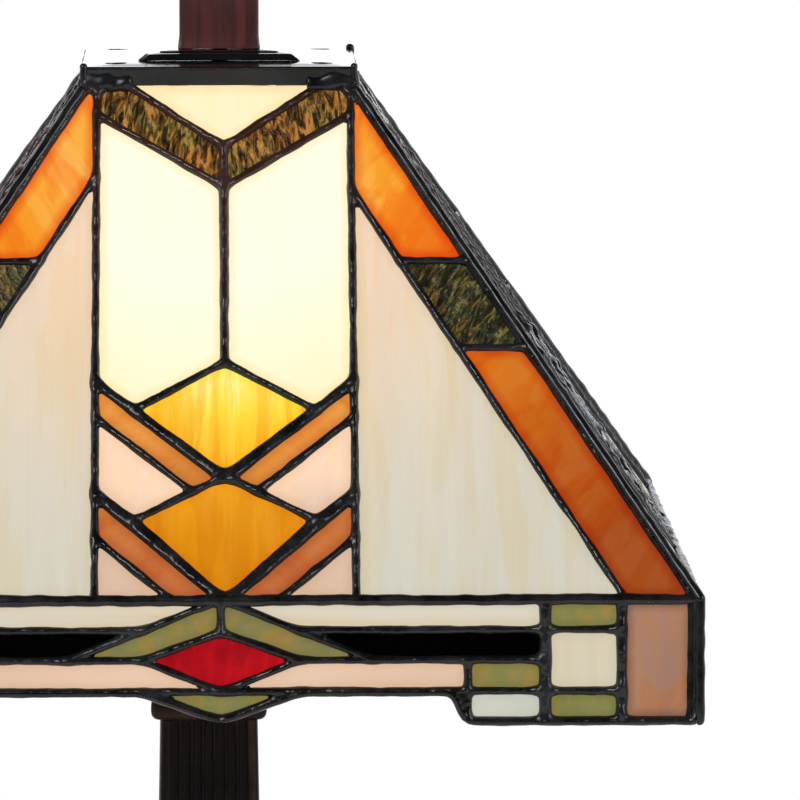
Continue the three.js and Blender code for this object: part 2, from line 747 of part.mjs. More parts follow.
// ---- Finial ----
const INSERT_R = 5; // brass insert that screws on the stud
function finialPost() {
  const bore = INSERT_R + GAP;
  return squareTurned([
    [0, FINIAL_Z + 20],
    [bore, FINIAL_Z + 20],
    [bore, FINIAL_Z],
    [14.5, FINIAL_Z],
    [14.3, FINIAL_Z + 1.6],
    [FINIAL_HALF, FINIAL_Z + 5],
    [FINIAL_HALF, LAMP_TOP - 13],
    [16.2, LAMP_TOP - 11],
    [16.2, LAMP_TOP - 8.4],
    [14.6, LAMP_TOP - 7],
    [0, LAMP_TOP],
  ]);
}
add("finial_post", finialPost(), MATERIALS.rosewood).position.x = HARP_LEAN;
const insertProfile = tubeProfile(STUD_R + 0.4, INSERT_R, FINIAL_Z + 0.1, FINIAL_Z + 18);
add("finial_insert", turned(insertProfile, 20), MATERIALS.brass).position.x = HARP_LEAN;

export default lamp;
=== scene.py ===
"""Looks of the stained glass table lamp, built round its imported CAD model.

Lengths are in millimetres until a mesh is made, which turns them into metres.
"""

import math

import bmesh
import bpy
import numpy as np
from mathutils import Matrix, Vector


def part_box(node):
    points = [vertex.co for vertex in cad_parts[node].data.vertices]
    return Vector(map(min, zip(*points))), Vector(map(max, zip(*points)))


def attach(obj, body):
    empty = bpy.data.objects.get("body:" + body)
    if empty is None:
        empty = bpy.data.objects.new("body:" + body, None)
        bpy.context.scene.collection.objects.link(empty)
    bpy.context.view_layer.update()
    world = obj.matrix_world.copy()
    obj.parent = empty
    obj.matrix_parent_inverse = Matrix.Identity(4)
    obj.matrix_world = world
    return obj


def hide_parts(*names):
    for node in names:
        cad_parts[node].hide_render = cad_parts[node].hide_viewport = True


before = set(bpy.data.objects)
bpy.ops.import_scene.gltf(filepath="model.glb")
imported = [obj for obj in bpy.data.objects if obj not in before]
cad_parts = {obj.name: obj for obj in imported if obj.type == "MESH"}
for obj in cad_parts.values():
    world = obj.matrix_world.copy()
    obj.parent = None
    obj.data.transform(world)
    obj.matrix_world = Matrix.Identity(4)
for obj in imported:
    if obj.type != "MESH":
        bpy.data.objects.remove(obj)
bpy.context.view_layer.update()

MM = 0.001
SIDES = ("front", "right", "back", "left")
CORNERS = ("front_right", "back_right", "back_left", "front_left")

# ---- Sizes, taken from the CAD nodes where they can be ----


def box_mm(node):
    low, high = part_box(node)
    return np.array(low) / MM, np.array(high) / MM


EAVE_Z = 378.0
EAVE_HALF = 160.0
CROWN_HALF = 46.0
PANEL_RISE = 165.0
SKIRT_DROP = 43.0
SPREAD = EAVE_HALF - CROWN_HALF
SLANT = math.hypot(PANEL_RISE, SPREAD)
BULB_Z = 474.0  # middle of the ball of the bulb
HARP_LEAN = 4.2  # the shade and finial stand this far right of the column's axis
LEAD_HALF = 1.42  # half the width of a bead of solder between panes
LEAD_RISE = 1.25
GLASS_FRONT = -0.35  # the glass stands back from the plane that the leading lies on
GLASS_BACK = -2.95
PANEL_HEAD = SLANT - 0.35  # where the panes and their solder end, under the rim

# ---- Numbers that look hand-made ----


def wave(points, size, seed, octaves=5):
    """Smooth noise from about -1 to 1 at each point, with features of about the given size."""
    rng = np.random.default_rng(seed)
    points = np.atleast_2d(points)
    total = np.zeros(len(points))
    for _ in range(octaves * 2):
        direction = rng.normal(size=points.shape[1])
        direction *= rng.uniform(0.6, 1.6) * 2 * math.pi / size / np.linalg.norm(direction)
        total += np.sin(points @ direction + rng.uniform(0, 2 * math.pi))
    return total / math.sqrt(octaves * 2)


# ---- Making meshes ----


def axis_of(body):
    """Where a body's own upright axis stands."""
    return np.array([HARP_LEAN if body in ("shade", "finial") else 0.0, 0, 0])


def publish(name, shape, material, body, replaced=(), sharp=35, fields=None):
    """Makes a piece from its vertices, in millimetres, and faces, and says what it rides on and stands for.
    The shade and the finial are drawn about their own axis."""
    verts, faces = shape
    mesh = bpy.data.meshes.new(name)
    verts = np.asarray(verts, float) + axis_of(body)
    mesh.from_pydata((verts * MM).tolist(), [], [list(map(int, f)) for f in faces])
    for key, values in (fields or {}).items():
        values = np.asarray(values, np.float32)
        kind, prop = ("FLOAT", "value") if values.ndim == 1 else ("FLOAT_VECTOR", "vector")
        mesh.attributes.new(key, kind, "POINT").data.foreach_set(prop, values.ravel())
    mesh.update()
    mesh.polygons.foreach_set("use_smooth", [True] * len(mesh.polygons))
    mesh.set_sharp_from_angle(angle=math.radians(sharp))
    mesh.materials.append(material)
    obj = bpy.data.objects.new(name, mesh)
    bpy.context.scene.collection.objects.link(obj)
    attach(obj, body)
    if replaced:
        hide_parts(*([replaced] if isinstance(replaced, str) else replaced))
    return obj


def thick_sheet(front, back, faces):
    """Closes a sheet of faces into a solid: the same faces at front and back, with walls round its edges."""
    count = len(front)
    faces = np.asarray(faces)
    edges = np.concatenate([np.stack([faces[:, i], faces[:, (i + 1) % 4]], 1) for i in range(4)])
    keys = edges[:, 0].astype(np.int64) * count + edges[:, 1]
    reverse = edges[:, 1].astype(np.int64) * count + edges[:, 0]
    rim = edges[~np.isin(keys, reverse) & (edges[:, 0] != edges[:, 1])]
    walls = np.stack([rim[:, 1], rim[:, 0], rim[:, 0] + count, rim[:, 1] + count], 1)
    return np.concatenate([front, back]), np.concatenate([faces, faces[:, ::-1] + count, walls])


def joined(parts):
    """Several (vertices, faces) as one."""
    verts, faces, start = [], [], 0
    for v, f in parts:
        verts.append(np.asarray(v, float))
        faces += [[int(i) + start for i in face] for face in f]
        start += len(v)
    return np.concatenate(verts), faces


def turned(profile, segments=64, about=(0, 0), radius=None):
    """A solid of revolution about the vertical through a point. The profile lists [radius, z].
    radius(angle, z, r), where given, changes the radius, as for threads and knurls."""
    profile = np.asarray(profile, float)
    angles = np.linspace(0, 2 * math.pi, segments, endpoint=False)
    rings = []
    for r, z in profile:
        far = np.full(segments, r) if radius is None or r < 1e-6 else radius(angles, z, r)
        ring = np.stack([far * np.cos(angles), far * np.sin(angles), np.full(segments, z)], 1)
        rings.append(ring + [*about, 0])
    return lofted(rings, profile)


def lofted(rings, profile):
    """Rings of a profile whose ends may be points on the axis, or may meet."""
    return loft(rings, profile[0][0] < 1e-6, profile[-1][0] < 1e-6, np.allclose(profile[0], profile[-1]))


def loft(rings, pointed_start, pointed_end, round_trip):
    """Faces between rings of equal length. A pointed end shrinks to one vertex."""
    n = len(rings[0])
    verts, index = [], []
    for i, ring in enumerate(rings):
        if round_trip and i == len(rings) - 1:
            index.append(index[0])
        elif (i == 0 and pointed_start) or (i == len(rings) - 1 and pointed_end):
            index.append([len(verts)] * n)
            verts.append(np.mean(ring, 0))
        else:
            index.append(list(range(len(verts), len(verts) + n)))
            verts.extend(ring)
    faces = []
    for a, b in zip(index, index[1:]):
        for i in range(n):
            j = (i + 1) % n
            face = [a[i], a[j], b[j], b[i]]
            face = [v for k, v in enumerate(face) if v != face[k - 1]]
            if len(face) > 2:
                faces.append(face)
    return np.array(verts), faces


def smoothed(profile, radius, steps=4):
    """The same profile with each inner corner rounded."""
    profile = [np.asarray(p, float) for p in profile]
    out = [profile[0]]
    for before, here, after in zip(profile, profile[1:], profile[2:]):
        to_before, to_after = before - here, after - here
        reach = min(radius, np.linalg.norm(to_before) * 0.45, np.linalg.norm(to_after) * 0.45)
        start = here + to_before / np.linalg.norm(to_before) * reach
        end = here + to_after / np.linalg.norm(to_after) * reach
        for s in np.linspace(0, 1, steps):
            out.append((1 - s) ** 2 * start + 2 * s * (1 - s) * here + s * s * end)
    out.append(profile[-1])
    return np.array(out)


def rounded_square(half, corner, steps=4, along=1):
    """A square outline with round corners, anticlockwise from the middle of the right side."""
    corner = min(corner, half * 0.98)
    points = []
    for quarter in range(4):
        centre = np.array([half - corner, half - corner])
        arc = np.radians(np.linspace(0, 90, steps + 1))
        side = [centre + corner * np.array([math.cos(a), math.sin(a)]) for a in arc]
        flat = [np.array([half, y]) for y in np.linspace(-half + corner, half - corner, along + 1)[:-1]]
        turn = math.radians(90 * quarter)
        spin = np.array([[math.cos(turn), -math.sin(turn)], [math.sin(turn), math.cos(turn)]])
        points += [spin @ p for p in flat + side]
    return np.array(points)


def square_turned(profile, corner=1.0, along=1):
    """A profile of [half width, z] carried round a square with slightly rounded corners."""
    profile = np.asarray(profile, float)
    rings = []
    for half, z in profile:
        outline = rounded_square(max(half, 1e-3), corner, along=along)
        rings.append(np.column_stack([outline, np.full(len(outline), z)]))
    return lofted(rings, profile)


def resampled(path, step):
    path = np.asarray(path, float)
    lengths = np.linalg.norm(np.diff(path, axis=0), axis=1)
    at = np.concatenate([[0], np.cumsum(lengths)])
    count = max(2, int(round(at[-1] / step)) + 1)
    return np.column_stack([np.interp(np.linspace(0, at[-1], count), at, path[:, i]) for i in range(3)])


def bead(path, radius, seed, step=2.0, sides=12, lumps=0.09, size=9.0, squash=(1.0, 1.0), up=(0, 0, 1)):
    """A run of solder, or a wire: a tube with round ends along a path, whose thickness wanders a little."""
    path = resampled(path, step)
    tangent = np.gradient(path, axis=0)
    tangent /= np.linalg.norm(tangent, axis=1)[:, None]
    first = np.cross(tangent, np.asarray(up, float))
    first /= np.linalg.norm(first, axis=1)[:, None]
    second = np.cross(tangent, first)
    angles = np.linspace(0, 2 * math.pi, sides, endpoint=False)

    def ring(centre, a, b, r, seed_point):
        circle = np.outer(np.cos(angles) * squash[0], a) + np.outer(np.sin(angles) * squash[1], b)
        rough = 1 + lumps * wave(seed_point + circle * r, size, seed)
        return centre + circle * r * rough[:, None]

    def end(i, latitude, outward):
        centre = path[i] + outward * tangent[i] * radius * math.sin(latitude)
        return ring(centre, first[i], second[i], radius * math.cos(latitude), path[i])

    latitudes = np.radians([90, 66, 42, 20])
    rings = [end(0, latitude, -1) for latitude in latitudes]
    rings += [ring(p, a, b, radius, p) for p, a, b in zip(path, first, second)]
    rings += [end(-1, latitude, 1) for latitude in latitudes[::-1]]
    return loft(rings, True, True, False)


DROOP = 0.55  # how far a plate with cuts comes down at its edges


def softened(node, width, material, body, segments=2, angle=30, cuts=()):
    """A CAD node with its sharp edges rounded off, in place of the node. A plate with cuts, given as
    distances from its middle, droops from the first cut to the last."""
    bm = bmesh.new()
    bm.from_mesh(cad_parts[node].data)
    bmesh.ops.remove_doubles(bm, verts=bm.verts, dist=2e-6)
    bmesh.ops.dissolve_limit(bm, angle_limit=math.radians(2), verts=bm.verts, edges=bm.edges)
    sharp = [e for e in bm.edges if e.is_manifold and e.calc_face_angle() > math.radians(angle)]
    bmesh.ops.bevel(
        bm, geom=sharp, offset=width * MM, segments=segments, profile=0.6, affect="EDGES", clamp_overlap=True
    )
    bmesh.ops.dissolve_degenerate(bm, dist=1e-6, edges=bm.edges)
    for cut in cuts:
        for axis in (0, 1):
            for side in (-cut, cut):
                whole = bm.verts[:] + bm.edges[:] + bm.faces[:]
                point = axis_of(body) * MM
                point[axis] += side * MM
                bmesh.ops.bisect_plane(
                    bm, geom=whole, dist=1e-7, plane_co=point, plane_no=[1 - axis, axis, 0],
                )
    verts = np.array([v.co for v in bm.verts]) / MM - axis_of(body)
    if cuts:
        share = np.clip((np.abs(verts[:, :2]).max(1) - cuts[0]) / (cuts[-1] - cuts[0]), 0, 1)
        height = (verts[:, 2] - verts[:, 2].min()) / np.ptp(verts[:, 2])
        verts[:, 2] -= DROOP * share**2 * height
    bm.verts.ensure_lookup_table()
    faces = [[v.index for v in f.verts] for f in bm.faces]
    bm.free()
    return publish(node + "_finished", (verts, faces), material, body, node)


# ---- Materials ----


def srgb(r, g, b):
    """A colour as a screen shows it, 0 to 255, in linear light."""
    return tuple(((c / 255 + 0.055) / 1.055) ** 2.4 if c > 10 else c / 255 / 12.92 for c in (r, g, b))


def plug(tree, socket, value):
    """Links an output to a node's input, or sets the input's value. A colour may leave out its alpha."""
    if isinstance(value, bpy.types.NodeSocket):
        tree.links.new(value, socket)
    else:
        short = socket.type == "RGBA" and len(value) == 3
        socket.default_value = (*value, 1) if short else value


def add_node(tree, kind, inputs, props):
    made = tree.nodes.new("ShaderNode" + kind)
    for key, value in props.items():
        setattr(made, key, value)
    for key, value in (inputs or {}).items():
        plug(tree, made.inputs[key], value)
    return made


class Look:
    """A material with one Principled shader, and short ways to add texture nodes to it."""

    def __init__(self, name, **sockets):
        self.material = bpy.data.materials.new(name)
        self.material.use_nodes = True
        self.tree = self.material.node_tree
        self.tree.nodes.clear()
        self.shader = self.tree.nodes.new("ShaderNodeBsdfPrincipled")
        out = self.tree.nodes.new("ShaderNodeOutputMaterial")
        self.tree.links.new(self.shader.outputs[0], out.inputs["Surface"])
        for key, value in sockets.items():
            self.set(key.replace("_", " "), value)

    def set(self, socket, value):
        plug(self.tree, self.shader.inputs[socket], value)

    def node(self, kind, inputs=None, **props):
        return add_node(self.tree, kind, inputs, props)

    def place(self):
        return self.node("TexCoord").outputs["Object"]

    def field(self, name, output="Fac"):
        return self.node("Attribute", attribute_name=name).outputs[output]

    def stretched(self, vector, scale):
        return self.node("Mapping", {"Vector": vector, "Scale": scale}).outputs[0]

    def noise(self, vector, scale, detail=4.0, rough=0.55, warp=0.0):
        inputs = {"Vector": vector, "Scale": scale, "Detail": detail, "Roughness": rough, "Distortion": warp}
        return self.node("TexNoise", inputs).outputs["Fac"]

    def ramp(self, value, stops):
        made = self.node("ValToRGB", {"Fac": value})
        elements = made.color_ramp.elements
        while len(elements) < len(stops):
            elements.new(0.5)
        for element, (at, colour) in zip(elements, stops):
            element.position = at
            element.color = (*colour, 1)
        return made.outputs["Color"]

    def mix(self, amount, a, b, blend="MIX"):
        """Two colours mixed. A colour mix takes them at inputs 6 and 7, and gives output 2."""
        return self.node("Mix", {0: amount, 6: a, 7: b}, data_type="RGBA", blend_type=blend).outputs[2]

    def math(self, operation, a, b):
        return self.node("Math", {0: a, 1: b}, operation=operation).outputs[0]

    def varied(self, value, noise, amount):
        """A value that wanders up and down with a noise."""
        return self.math("ADD", value, self.math("MULTIPLY", self.math("SUBTRACT", noise, 0.5), amount))

    def tinted(self, amount, colour, tint):
        return self.mix(amount, colour, self.mix(1.0, colour, tint, "MULTIPLY"))

    def span(self, value, low, high, to_low=0.0, to_high=1.0):
        names = ("Value", "From Min", "From Max", "To Min", "To Max")
        return self.node("MapRange", dict(zip(names, (value, low, high, to_low, to_high)))).outputs[0]

    def bump(self, height, strength, distance=0.0003):
        bump = self.node("Bump", {"Height": height, "Strength": strength, "Distance": distance})
        self.set("Normal", bump.outputs[0])


def metal(name, dark, light, roughness, metallic=1.0, grain=900.0, bump=0.15, worn=None, specular=0.5):
    """A metal or paint whose colour and gloss vary over its surface. worn is a colour of its sharp edges."""
    look = Look(name, Metallic=metallic)
    look.set("Specular IOR Level", specular)
    place = look.place()
    patches = look.noise(place, 45.0, 6.0, 0.6)
    fine = look.noise(place, grain, 3.0, 0.6)
    colour = look.mix(look.span(patches, 0.3, 0.7), dark, light)
    if worn:
        edge = look.node("NewGeometry").outputs["Pointiness"]
        mask = look.math("MULTIPLY", look.span(edge, 0.52, 0.6), look.span(patches, 0.35, 0.6))
        colour = look.mix(mask, colour, worn)
    look.set("Base Color", colour)
    look.set(
        "Roughness", look.span(look.math("ADD", patches, look.math("MULTIPLY", fine, 0.5)), 0.4, 1.1,
        *roughness),
    )
    look.bump(fine, bump, 0.0002)
    return look.material


def solder_look():
    """Solder under a black patina: glossy, faintly blue where worn, with a painted reddish-brown glow in
    its emission where the bulb's light is strongest.
    """
    look = Look("solder_black_patina", Metallic=0.35)
    look.set("Specular IOR Level", 0.55)
    place = look.place()
    patches = look.noise(place, 90.0, 5.0, 0.6)
    fine = look.noise(place, 700.0, 3.0, 0.6)
    look.set(
        "Base Color", look.mix(look.span(patches, 0.35, 0.7), (0.004, 0.004, 0.005), (0.02, 0.021, 0.025)),
    )
    look.set("Roughness", look.span(patches, 0.3, 0.75, 0.2, 0.4))
    glow = look.field("glow")
    # Painted light: a reddish-brown emission where the glow of the bulb's light is high.
    look.set(
        "Emission Color", look.ramp(glow, [(0.55, (0, 0, 0)), (0.8, (0.009, 0.002, 0.0005)),
        (1.0, (0.026, 0.006, 0.0015))]),
    )
    look.set("Emission Strength", 1.0)
    look.bump(fine, 0.12, 0.0003)
    return look.material


def glass_look(
    name, lit, streaks, base, edge=(0.9, 0.84, 0.76), grain=(9.0, 1.1), wisp=0.1, ripple=0.1, gloss=0.15,
):
    """Opalescent glass. lit lists (glow, red, green, blue), for the light that comes through where little
    and where much light falls, painted into the emission colour. streaks lists (share, tint) of wisps in
    the sheet. base is its colour by daylight, and edge the tint of the painted shade that the solder casts
    close to the pane's edges."""
    look = Look(name, Metallic=0.0)
    look.set("Specular IOR Level", gloss)
    sheet = look.field("sheet", "Vector")
    glow = look.field("glow")
    drift = look.noise(look.stretched(sheet, (grain[0] * 0.5, grain[1], 1.0)), 1.0, 3.0, 0.5, 0.4)
    wisps = look.noise(look.stretched(sheet, (grain[0] * 1.6, grain[1], 3.0)), 1.0, 5.0, 0.6, 0.9)
    uneven = look.varied(glow, drift, 0.1)
    light = look.ramp(uneven, [(at, srgb(*colour)) for at, *colour in lit])
    for number, (share, tint) in enumerate(streaks):
        spread = grain[0] * (1.0 + 1.4 * number)
        at = look.noise(look.stretched(sheet, (spread, grain[1], 7.0 + 5 * number)), 1.0, 4.0, 0.55, 0.7)
        mask = look.math("MULTIPLY", look.span(at, 0.485, 0.575), share)
        light = look.tinted(mask, light, tint)
    light = look.tinted(look.span(wisps, 0.4, 0.7, 0.0, wisp), light, (1.25, 1.3, 1.4))
    # Painted shade: close to the solder the glass is darkened and tinted with edge.
    rim = look.span(look.varied(look.field("edge"), drift, 0.3), 0.0, 0.55, 1.0, 0.0)
    light = look.tinted(rim, light, edge)
    # Painted light: the bulb's light through the glass, following the glow field, is painted as emission.
    look.set("Emission Color", light)
    look.set("Emission Strength", 1.0)
    look.set(
        "Base Color", look.mix(wisps, tuple(c * 0.8 for c in base), tuple(min(1, c * 1.15) for c in base)),
    )
    look.set("Roughness", look.span(drift, 0.3, 0.7, 0.06, 0.16))
    look.bump(look.noise(look.stretched(sheet, (3.0, 3.0, 1.0)), 1.0, 2.0, 0.5), ripple, 0.002)
    return look.material


def textured_glass_look(name, lit, painted_glint_colour, base):
    """Dark glass with a hammered, streaky surface. The bulb's light through it is painted into its
    emission colour, with painted glints on bright flecks.
    """
    look = Look(name, Metallic=0.0, Roughness=0.16)
    look.set("Specular IOR Level", 0.3)
    sheet = look.field("sheet", "Vector")
    glow = look.field("glow")
    bars = look.noise(look.stretched(sheet, (42.0, 11.0, 3.0)), 1.0, 5.0, 0.62, 1.2)
    cloud = look.noise(look.stretched(sheet, (9.0, 9.0, 9.0)), 1.0, 2.0, 0.5, 0.5)
    fleck = look.noise(look.stretched(sheet, (120.0, 55.0, 5.0)), 1.0, 3.0, 0.6, 1.0)
    level = look.varied(bars, glow, 0.16)
    light = look.mix(look.span(cloud, 0.4, 0.62), look.ramp(level, lit[0]), look.ramp(level, lit[1]))
    # Painted highlight: glints put into the emitted colour on flecks of the ripples.
    painted_glint_mask = look.math("MULTIPLY", look.span(fleck, 0.58, 0.7), look.span(bars, 0.45, 0.62))
    light = look.mix(painted_glint_mask, light, painted_glint_colour)
    look.set("Emission Color", light)
    look.set("Emission Strength", 1.0)
    look.set("Base Color", look.mix(bars, tuple(c * 0.6 for c in base), base))
    look.bump(look.math("ADD", bars, look.math("MULTIPLY", fleck, 0.4)), 0.5, 0.0012)
    return look.material


SOLDER = solder_look()
GLASS = {}
GLASS["cream"] = glass_look(
    "glass_cream",
    [
        (0.25, 203, 199, 184), (0.36, 211, 202, 184), (0.5, 224, 205, 180), (0.65, 233, 205, 178),
        (0.8, 240, 208, 180),
    ],
    [(0.6, (0.99, 0.93, 0.74)), (0.45, (1.01, 0.93, 0.88)), (0.4, (0.94, 0.99, 1.02))],
    (0.07, 0.068, 0.058),
    edge=(0.92, 0.92, 0.88),
    grain=(8.0, 1.0),
)
# The same cream glass by daylight, with brighter painted light for the tall pane of the middle column.
GLASS["cream_bright"] = glass_look(
    "glass_cream_bright",
    [(0.5, 253, 240, 196), (0.64, 254, 248, 212), (0.83, 255, 250, 228), (0.96, 254, 250, 226)],
    [(0.15, (1.0, 0.97, 0.86))],
    (0.07, 0.068, 0.058),
    edge=(0.98, 0.86, 0.66),
    wisp=0.0,
)
GLASS["peach"] = glass_look(
    "glass_peach",
    [
        (0.2, 202, 172, 146), (0.34, 218, 186, 160), (0.37, 227, 195, 169), (0.4, 247, 211, 180),
        (0.5, 250, 217, 188),
    ],
    [(0.4, (1.0, 0.94, 0.82)), (0.3, (0.98, 0.98, 1.04))],
    (0.07, 0.06, 0.052),
    edge=(0.92, 0.86, 0.8),
    grain=(5.0, 1.2),
)
# The same peach glass by daylight, with brighter painted light for the small top pane of the middle column.
GLASS["peach_bright"] = glass_look(
    "glass_peach_bright",
    [(0.6, 250, 228, 180), (0.9, 253, 239, 193), (1.0, 254, 241, 196)],
    [(0.5, (1.0, 0.95, 0.84))],
    (0.07, 0.06, 0.052),
    edge=(0.97, 0.86, 0.74),
    wisp=0.0,
)
GLASS["yellow"] = glass_look(
    "glass_yellow",
    [
        (0.4, 240, 160, 36), (0.46, 246, 184, 40), (0.5, 248, 200, 46), (0.54, 250, 218, 64),
        (0.6, 251, 236, 110),
    ],
    [(0.8, (0.95, 0.72, 0.5)), (0.65, (1.0, 1.14, 2.8))],
    (0.06, 0.04, 0.006),
    edge=(1.0, 0.9, 0.4),
    grain=(13.0, 1.6),
    wisp=0.3,
)
GLASS["amber"] = glass_look(
    "glass_amber",
    [(0.26, 205, 122, 8), (0.32, 217, 134, 12), (0.36, 228, 148, 20), (0.42, 238, 162, 34)],
    [(0.7, (0.9, 0.83, 0.8)), (0.5, (1.03, 1.1, 3.2))],
    (0.05, 0.03, 0.003),
    edge=(0.98, 0.82, 0.6),
    grain=(11.0, 1.6),
    wisp=0.2,
)
GLASS["orange"] = glass_look(
    "glass_orange",
    [
        (0.2, 148, 62, 26), (0.28, 180, 84, 24), (0.38, 204, 104, 24), (0.55, 234, 120, 22),
        (0.7, 244, 150, 36), (0.85, 248, 172, 66),
    ],
    [(0.75, (0.96, 0.6, 0.5)), (0.65, (1.03, 1.28, 2.2))],
    (0.035, 0.014, 0.002),
    edge=(0.85, 0.36, 0.3),
    grain=(5.0, 2.0),
)
GLASS["salmon"] = glass_look(
    "glass_salmon",
    [(0.26, 176, 92, 54), (0.33, 198, 110, 54), (0.41, 218, 138, 56), (0.48, 236, 154, 62)],
    [(0.7, (0.94, 0.74, 0.66)), (0.6, (1.03, 1.08, 1.4))],
    (0.05, 0.026, 0.01),
    edge=(0.72, 0.6, 0.6),
    grain=(6.0, 1.3),
)
GLASS["corner"] = glass_look(
    "glass_mauve_brown",
    [(0.2, 150, 104, 78), (0.28, 164, 117, 86), (0.4, 178, 130, 95)],
    [(0.85, (1.12, 0.88, 0.55)), (0.8, (0.88, 1.0, 1.38))],
    (0.05, 0.036, 0.026),
    edge=(0.5, 0.46, 0.62),
    grain=(5.0, 1.6),
)
GLASS["green"] = glass_look(
    "glass_moss",
    [(0.2, 124, 121, 70), (0.3, 134, 127, 74), (0.42, 136, 122, 74)],
    [(0.6, (1.5, 1.02, 0.6)), (0.5, (0.8, 0.93, 0.88)), (0.3, (0.9, 1.12, 0.7))],
    (0.028, 0.028, 0.014),
    edge=(0.7, 0.78, 0.8),
    grain=(3.5, 9.0),
)
GLASS["white"] = glass_look(
    "glass_white",
    [(0.2, 192, 191, 177), (0.45, 203, 202, 188)],
    [(0.5, (0.92, 0.97, 1.0)), (0.3, (1.02, 0.98, 0.86))],
    (0.07, 0.07, 0.068),
    edge=(0.88, 0.9, 0.92),
    grain=(6.0, 3.0),
)
GLASS["red"] = glass_look(
    "glass_red",
    [(0.2, 140, 8, 18), (0.36, 170, 12, 24), (0.42, 190, 14, 26)],
    [(0.8, (0.66, 0.6, 0.8)), (0.6, (1.25, 1.8, 1.2))],
    (0.03, 0.002, 0.003),
    edge=(0.9, 0.8, 0.8),
    grain=(7.0, 3.0),
)
GLASS["black"] = glass_look(
    "glass_black", [(0.2, 0, 0, 0), (0.5, 0.66, 0.66, 0.99)], [], (0.0004, 0.0004, 0.0005), gloss=0.06,
)
GLASS["brown_ripple"] = textured_glass_look(
    "glass_ripple_brown",
    (
        [
            (0.43, srgb(12, 8, 3)), (0.51, srgb(50, 30, 11)), (0.59, srgb(112, 68, 26)),
            (0.68, srgb(184, 122, 54)),
        ],
        [
            (0.43, srgb(10, 9, 4)), (0.51, srgb(42, 38, 14)), (0.59, srgb(94, 78, 30)),
            (0.68, srgb(156, 130, 64)),
        ],
    ),
    # colour of the painted glints
    srgb(196, 150, 84),
    (0.012, 0.009, 0.004),
)
GLASS["green_ripple"] = textured_glass_look(
    "glass_ripple_green",
    (
        [
            (0.36, srgb(6, 10, 8)), (0.46, srgb(24, 30, 18)), (0.55, srgb(56, 58, 30)),
            (0.64, srgb(102, 98, 56)),
        ],
        [
            (0.36, srgb(8, 6, 3)), (0.46, srgb(36, 26, 10)), (0.55, srgb(80, 60, 22)),
            (0.64, srgb(134, 100, 40)),
        ],
    ),
    # colour of the painted glints
    srgb(176, 160, 104),
    (0.01, 0.011, 0.006),
)

PATINA = metal(
    "patina_red_brown", (0.002, 0.0013, 0.0012), (0.007, 0.0038, 0.0032), (0.3, 0.5), 0.1, 600.0, 0.2,
    (0.04, 0.02, 0.014), 0.2,
)


def cap_look():
    """Glossy black patina, which mirrors the studio at a low angle."""
    look = Look("patina_black", Metallic=0.8)
    place = look.place()
    patches = look.noise(place, 45.0, 6.0, 0.6)
    look.set(
        "Base Color", look.mix(look.span(patches, 0.3, 0.7), (0.016, 0.017, 0.019), (0.034, 0.035, 0.038)),
    )
    look.set("Roughness", look.span(patches, 0.4, 0.7, 0.07, 0.13))
    look.bump(look.noise(place, 300.0, 3.0, 0.6), 0.03, 0.0002)
    return look.material


CAP = cap_look()
RIM = metal(
    "patina_grey", (0.022, 0.021, 0.02), (0.038, 0.037, 0.036), (0.35, 0.5), 0.1, 300.0, 0.05,
    (0.04, 0.042, 0.045), 0.15,
)
BRASS = metal("brass_polished", (0.45, 0.29, 0.1), (0.66, 0.47, 0.2), (0.18, 0.36), 1.0, 900.0, 0.1)
STEEL = metal("steel_plated", (0.32, 0.32, 0.33), (0.5, 0.5, 0.5), (0.25, 0.45), 1.0, 700.0, 0.15)
THREAD = metal("aluminium_thread", (0.5, 0.5, 0.51), (0.66, 0.66, 0.66), (0.22, 0.4), 1.0, 900.0, 0.1)
IRON = metal("iron_raw", (0.03, 0.03, 0.032), (0.08, 0.075, 0.07), (0.55, 0.8), 0.6, 350.0, 0.6)


def wood_look():
    look = Look("stained_red_brown", Metallic=0.0)
    look.set("Coat Weight", 0.25)
    look.set("Coat Roughness", 0.25)
    place = look.place()
    grain = look.noise(look.stretched(place, (260.0, 260.0, 22.0)), 1.0, 6.0, 0.62, 0.6)
    patches = look.noise(place, 40.0, 4.0, 0.55)
    colour = look.ramp(grain, [(0.3, srgb(56, 25, 23)), (0.5, srgb(84, 40, 38)), (0.68, srgb(104, 46, 42))])
    look.set("Base Color", look.mix(look.span(patches, 0.35, 0.7, 0.0, 0.5), colour, srgb(64, 38, 39)))
    look.set("Roughness", look.span(patches, 0.3, 0.7, 0.3, 0.48))
    look.bump(grain, 0.12, 0.0003)
    return look.material


def plastic_look(name, dark, light):
    look = Look(name, Metallic=0.0)
    place = look.place()
    speck = look.noise(place, 1400.0, 2.0, 0.5)
    soft = look.noise(place, 60.0, 3.0, 0.5)
    look.set("Base Color", look.mix(soft, dark, light))
    look.set("Roughness", look.span(soft, 0.3, 0.7, 0.28, 0.45))
    look.bump(speck, 0.1, 0.0002)
    return look.material


def felt_look():
    look = Look("felt_green", Metallic=0.0, Roughness=0.95)
    look.set("Sheen Weight", 0.4)
    place = look.place()
    fibre = look.noise(look.stretched(place, (900.0, 900.0, 300.0)), 1.0, 6.0, 0.75, 1.5)
    patches = look.noise(place, 60.0, 3.0, 0.5)
    colour = look.mix(fibre, srgb(18, 28, 20), srgb(48, 62, 48))
    look.set("Base Color", look.mix(look.span(patches, 0.3, 0.7, 0.0, 0.4), colour, srgb(30, 40, 30)))
    look.bump(fibre, 0.7, 0.0006)
    return look.material


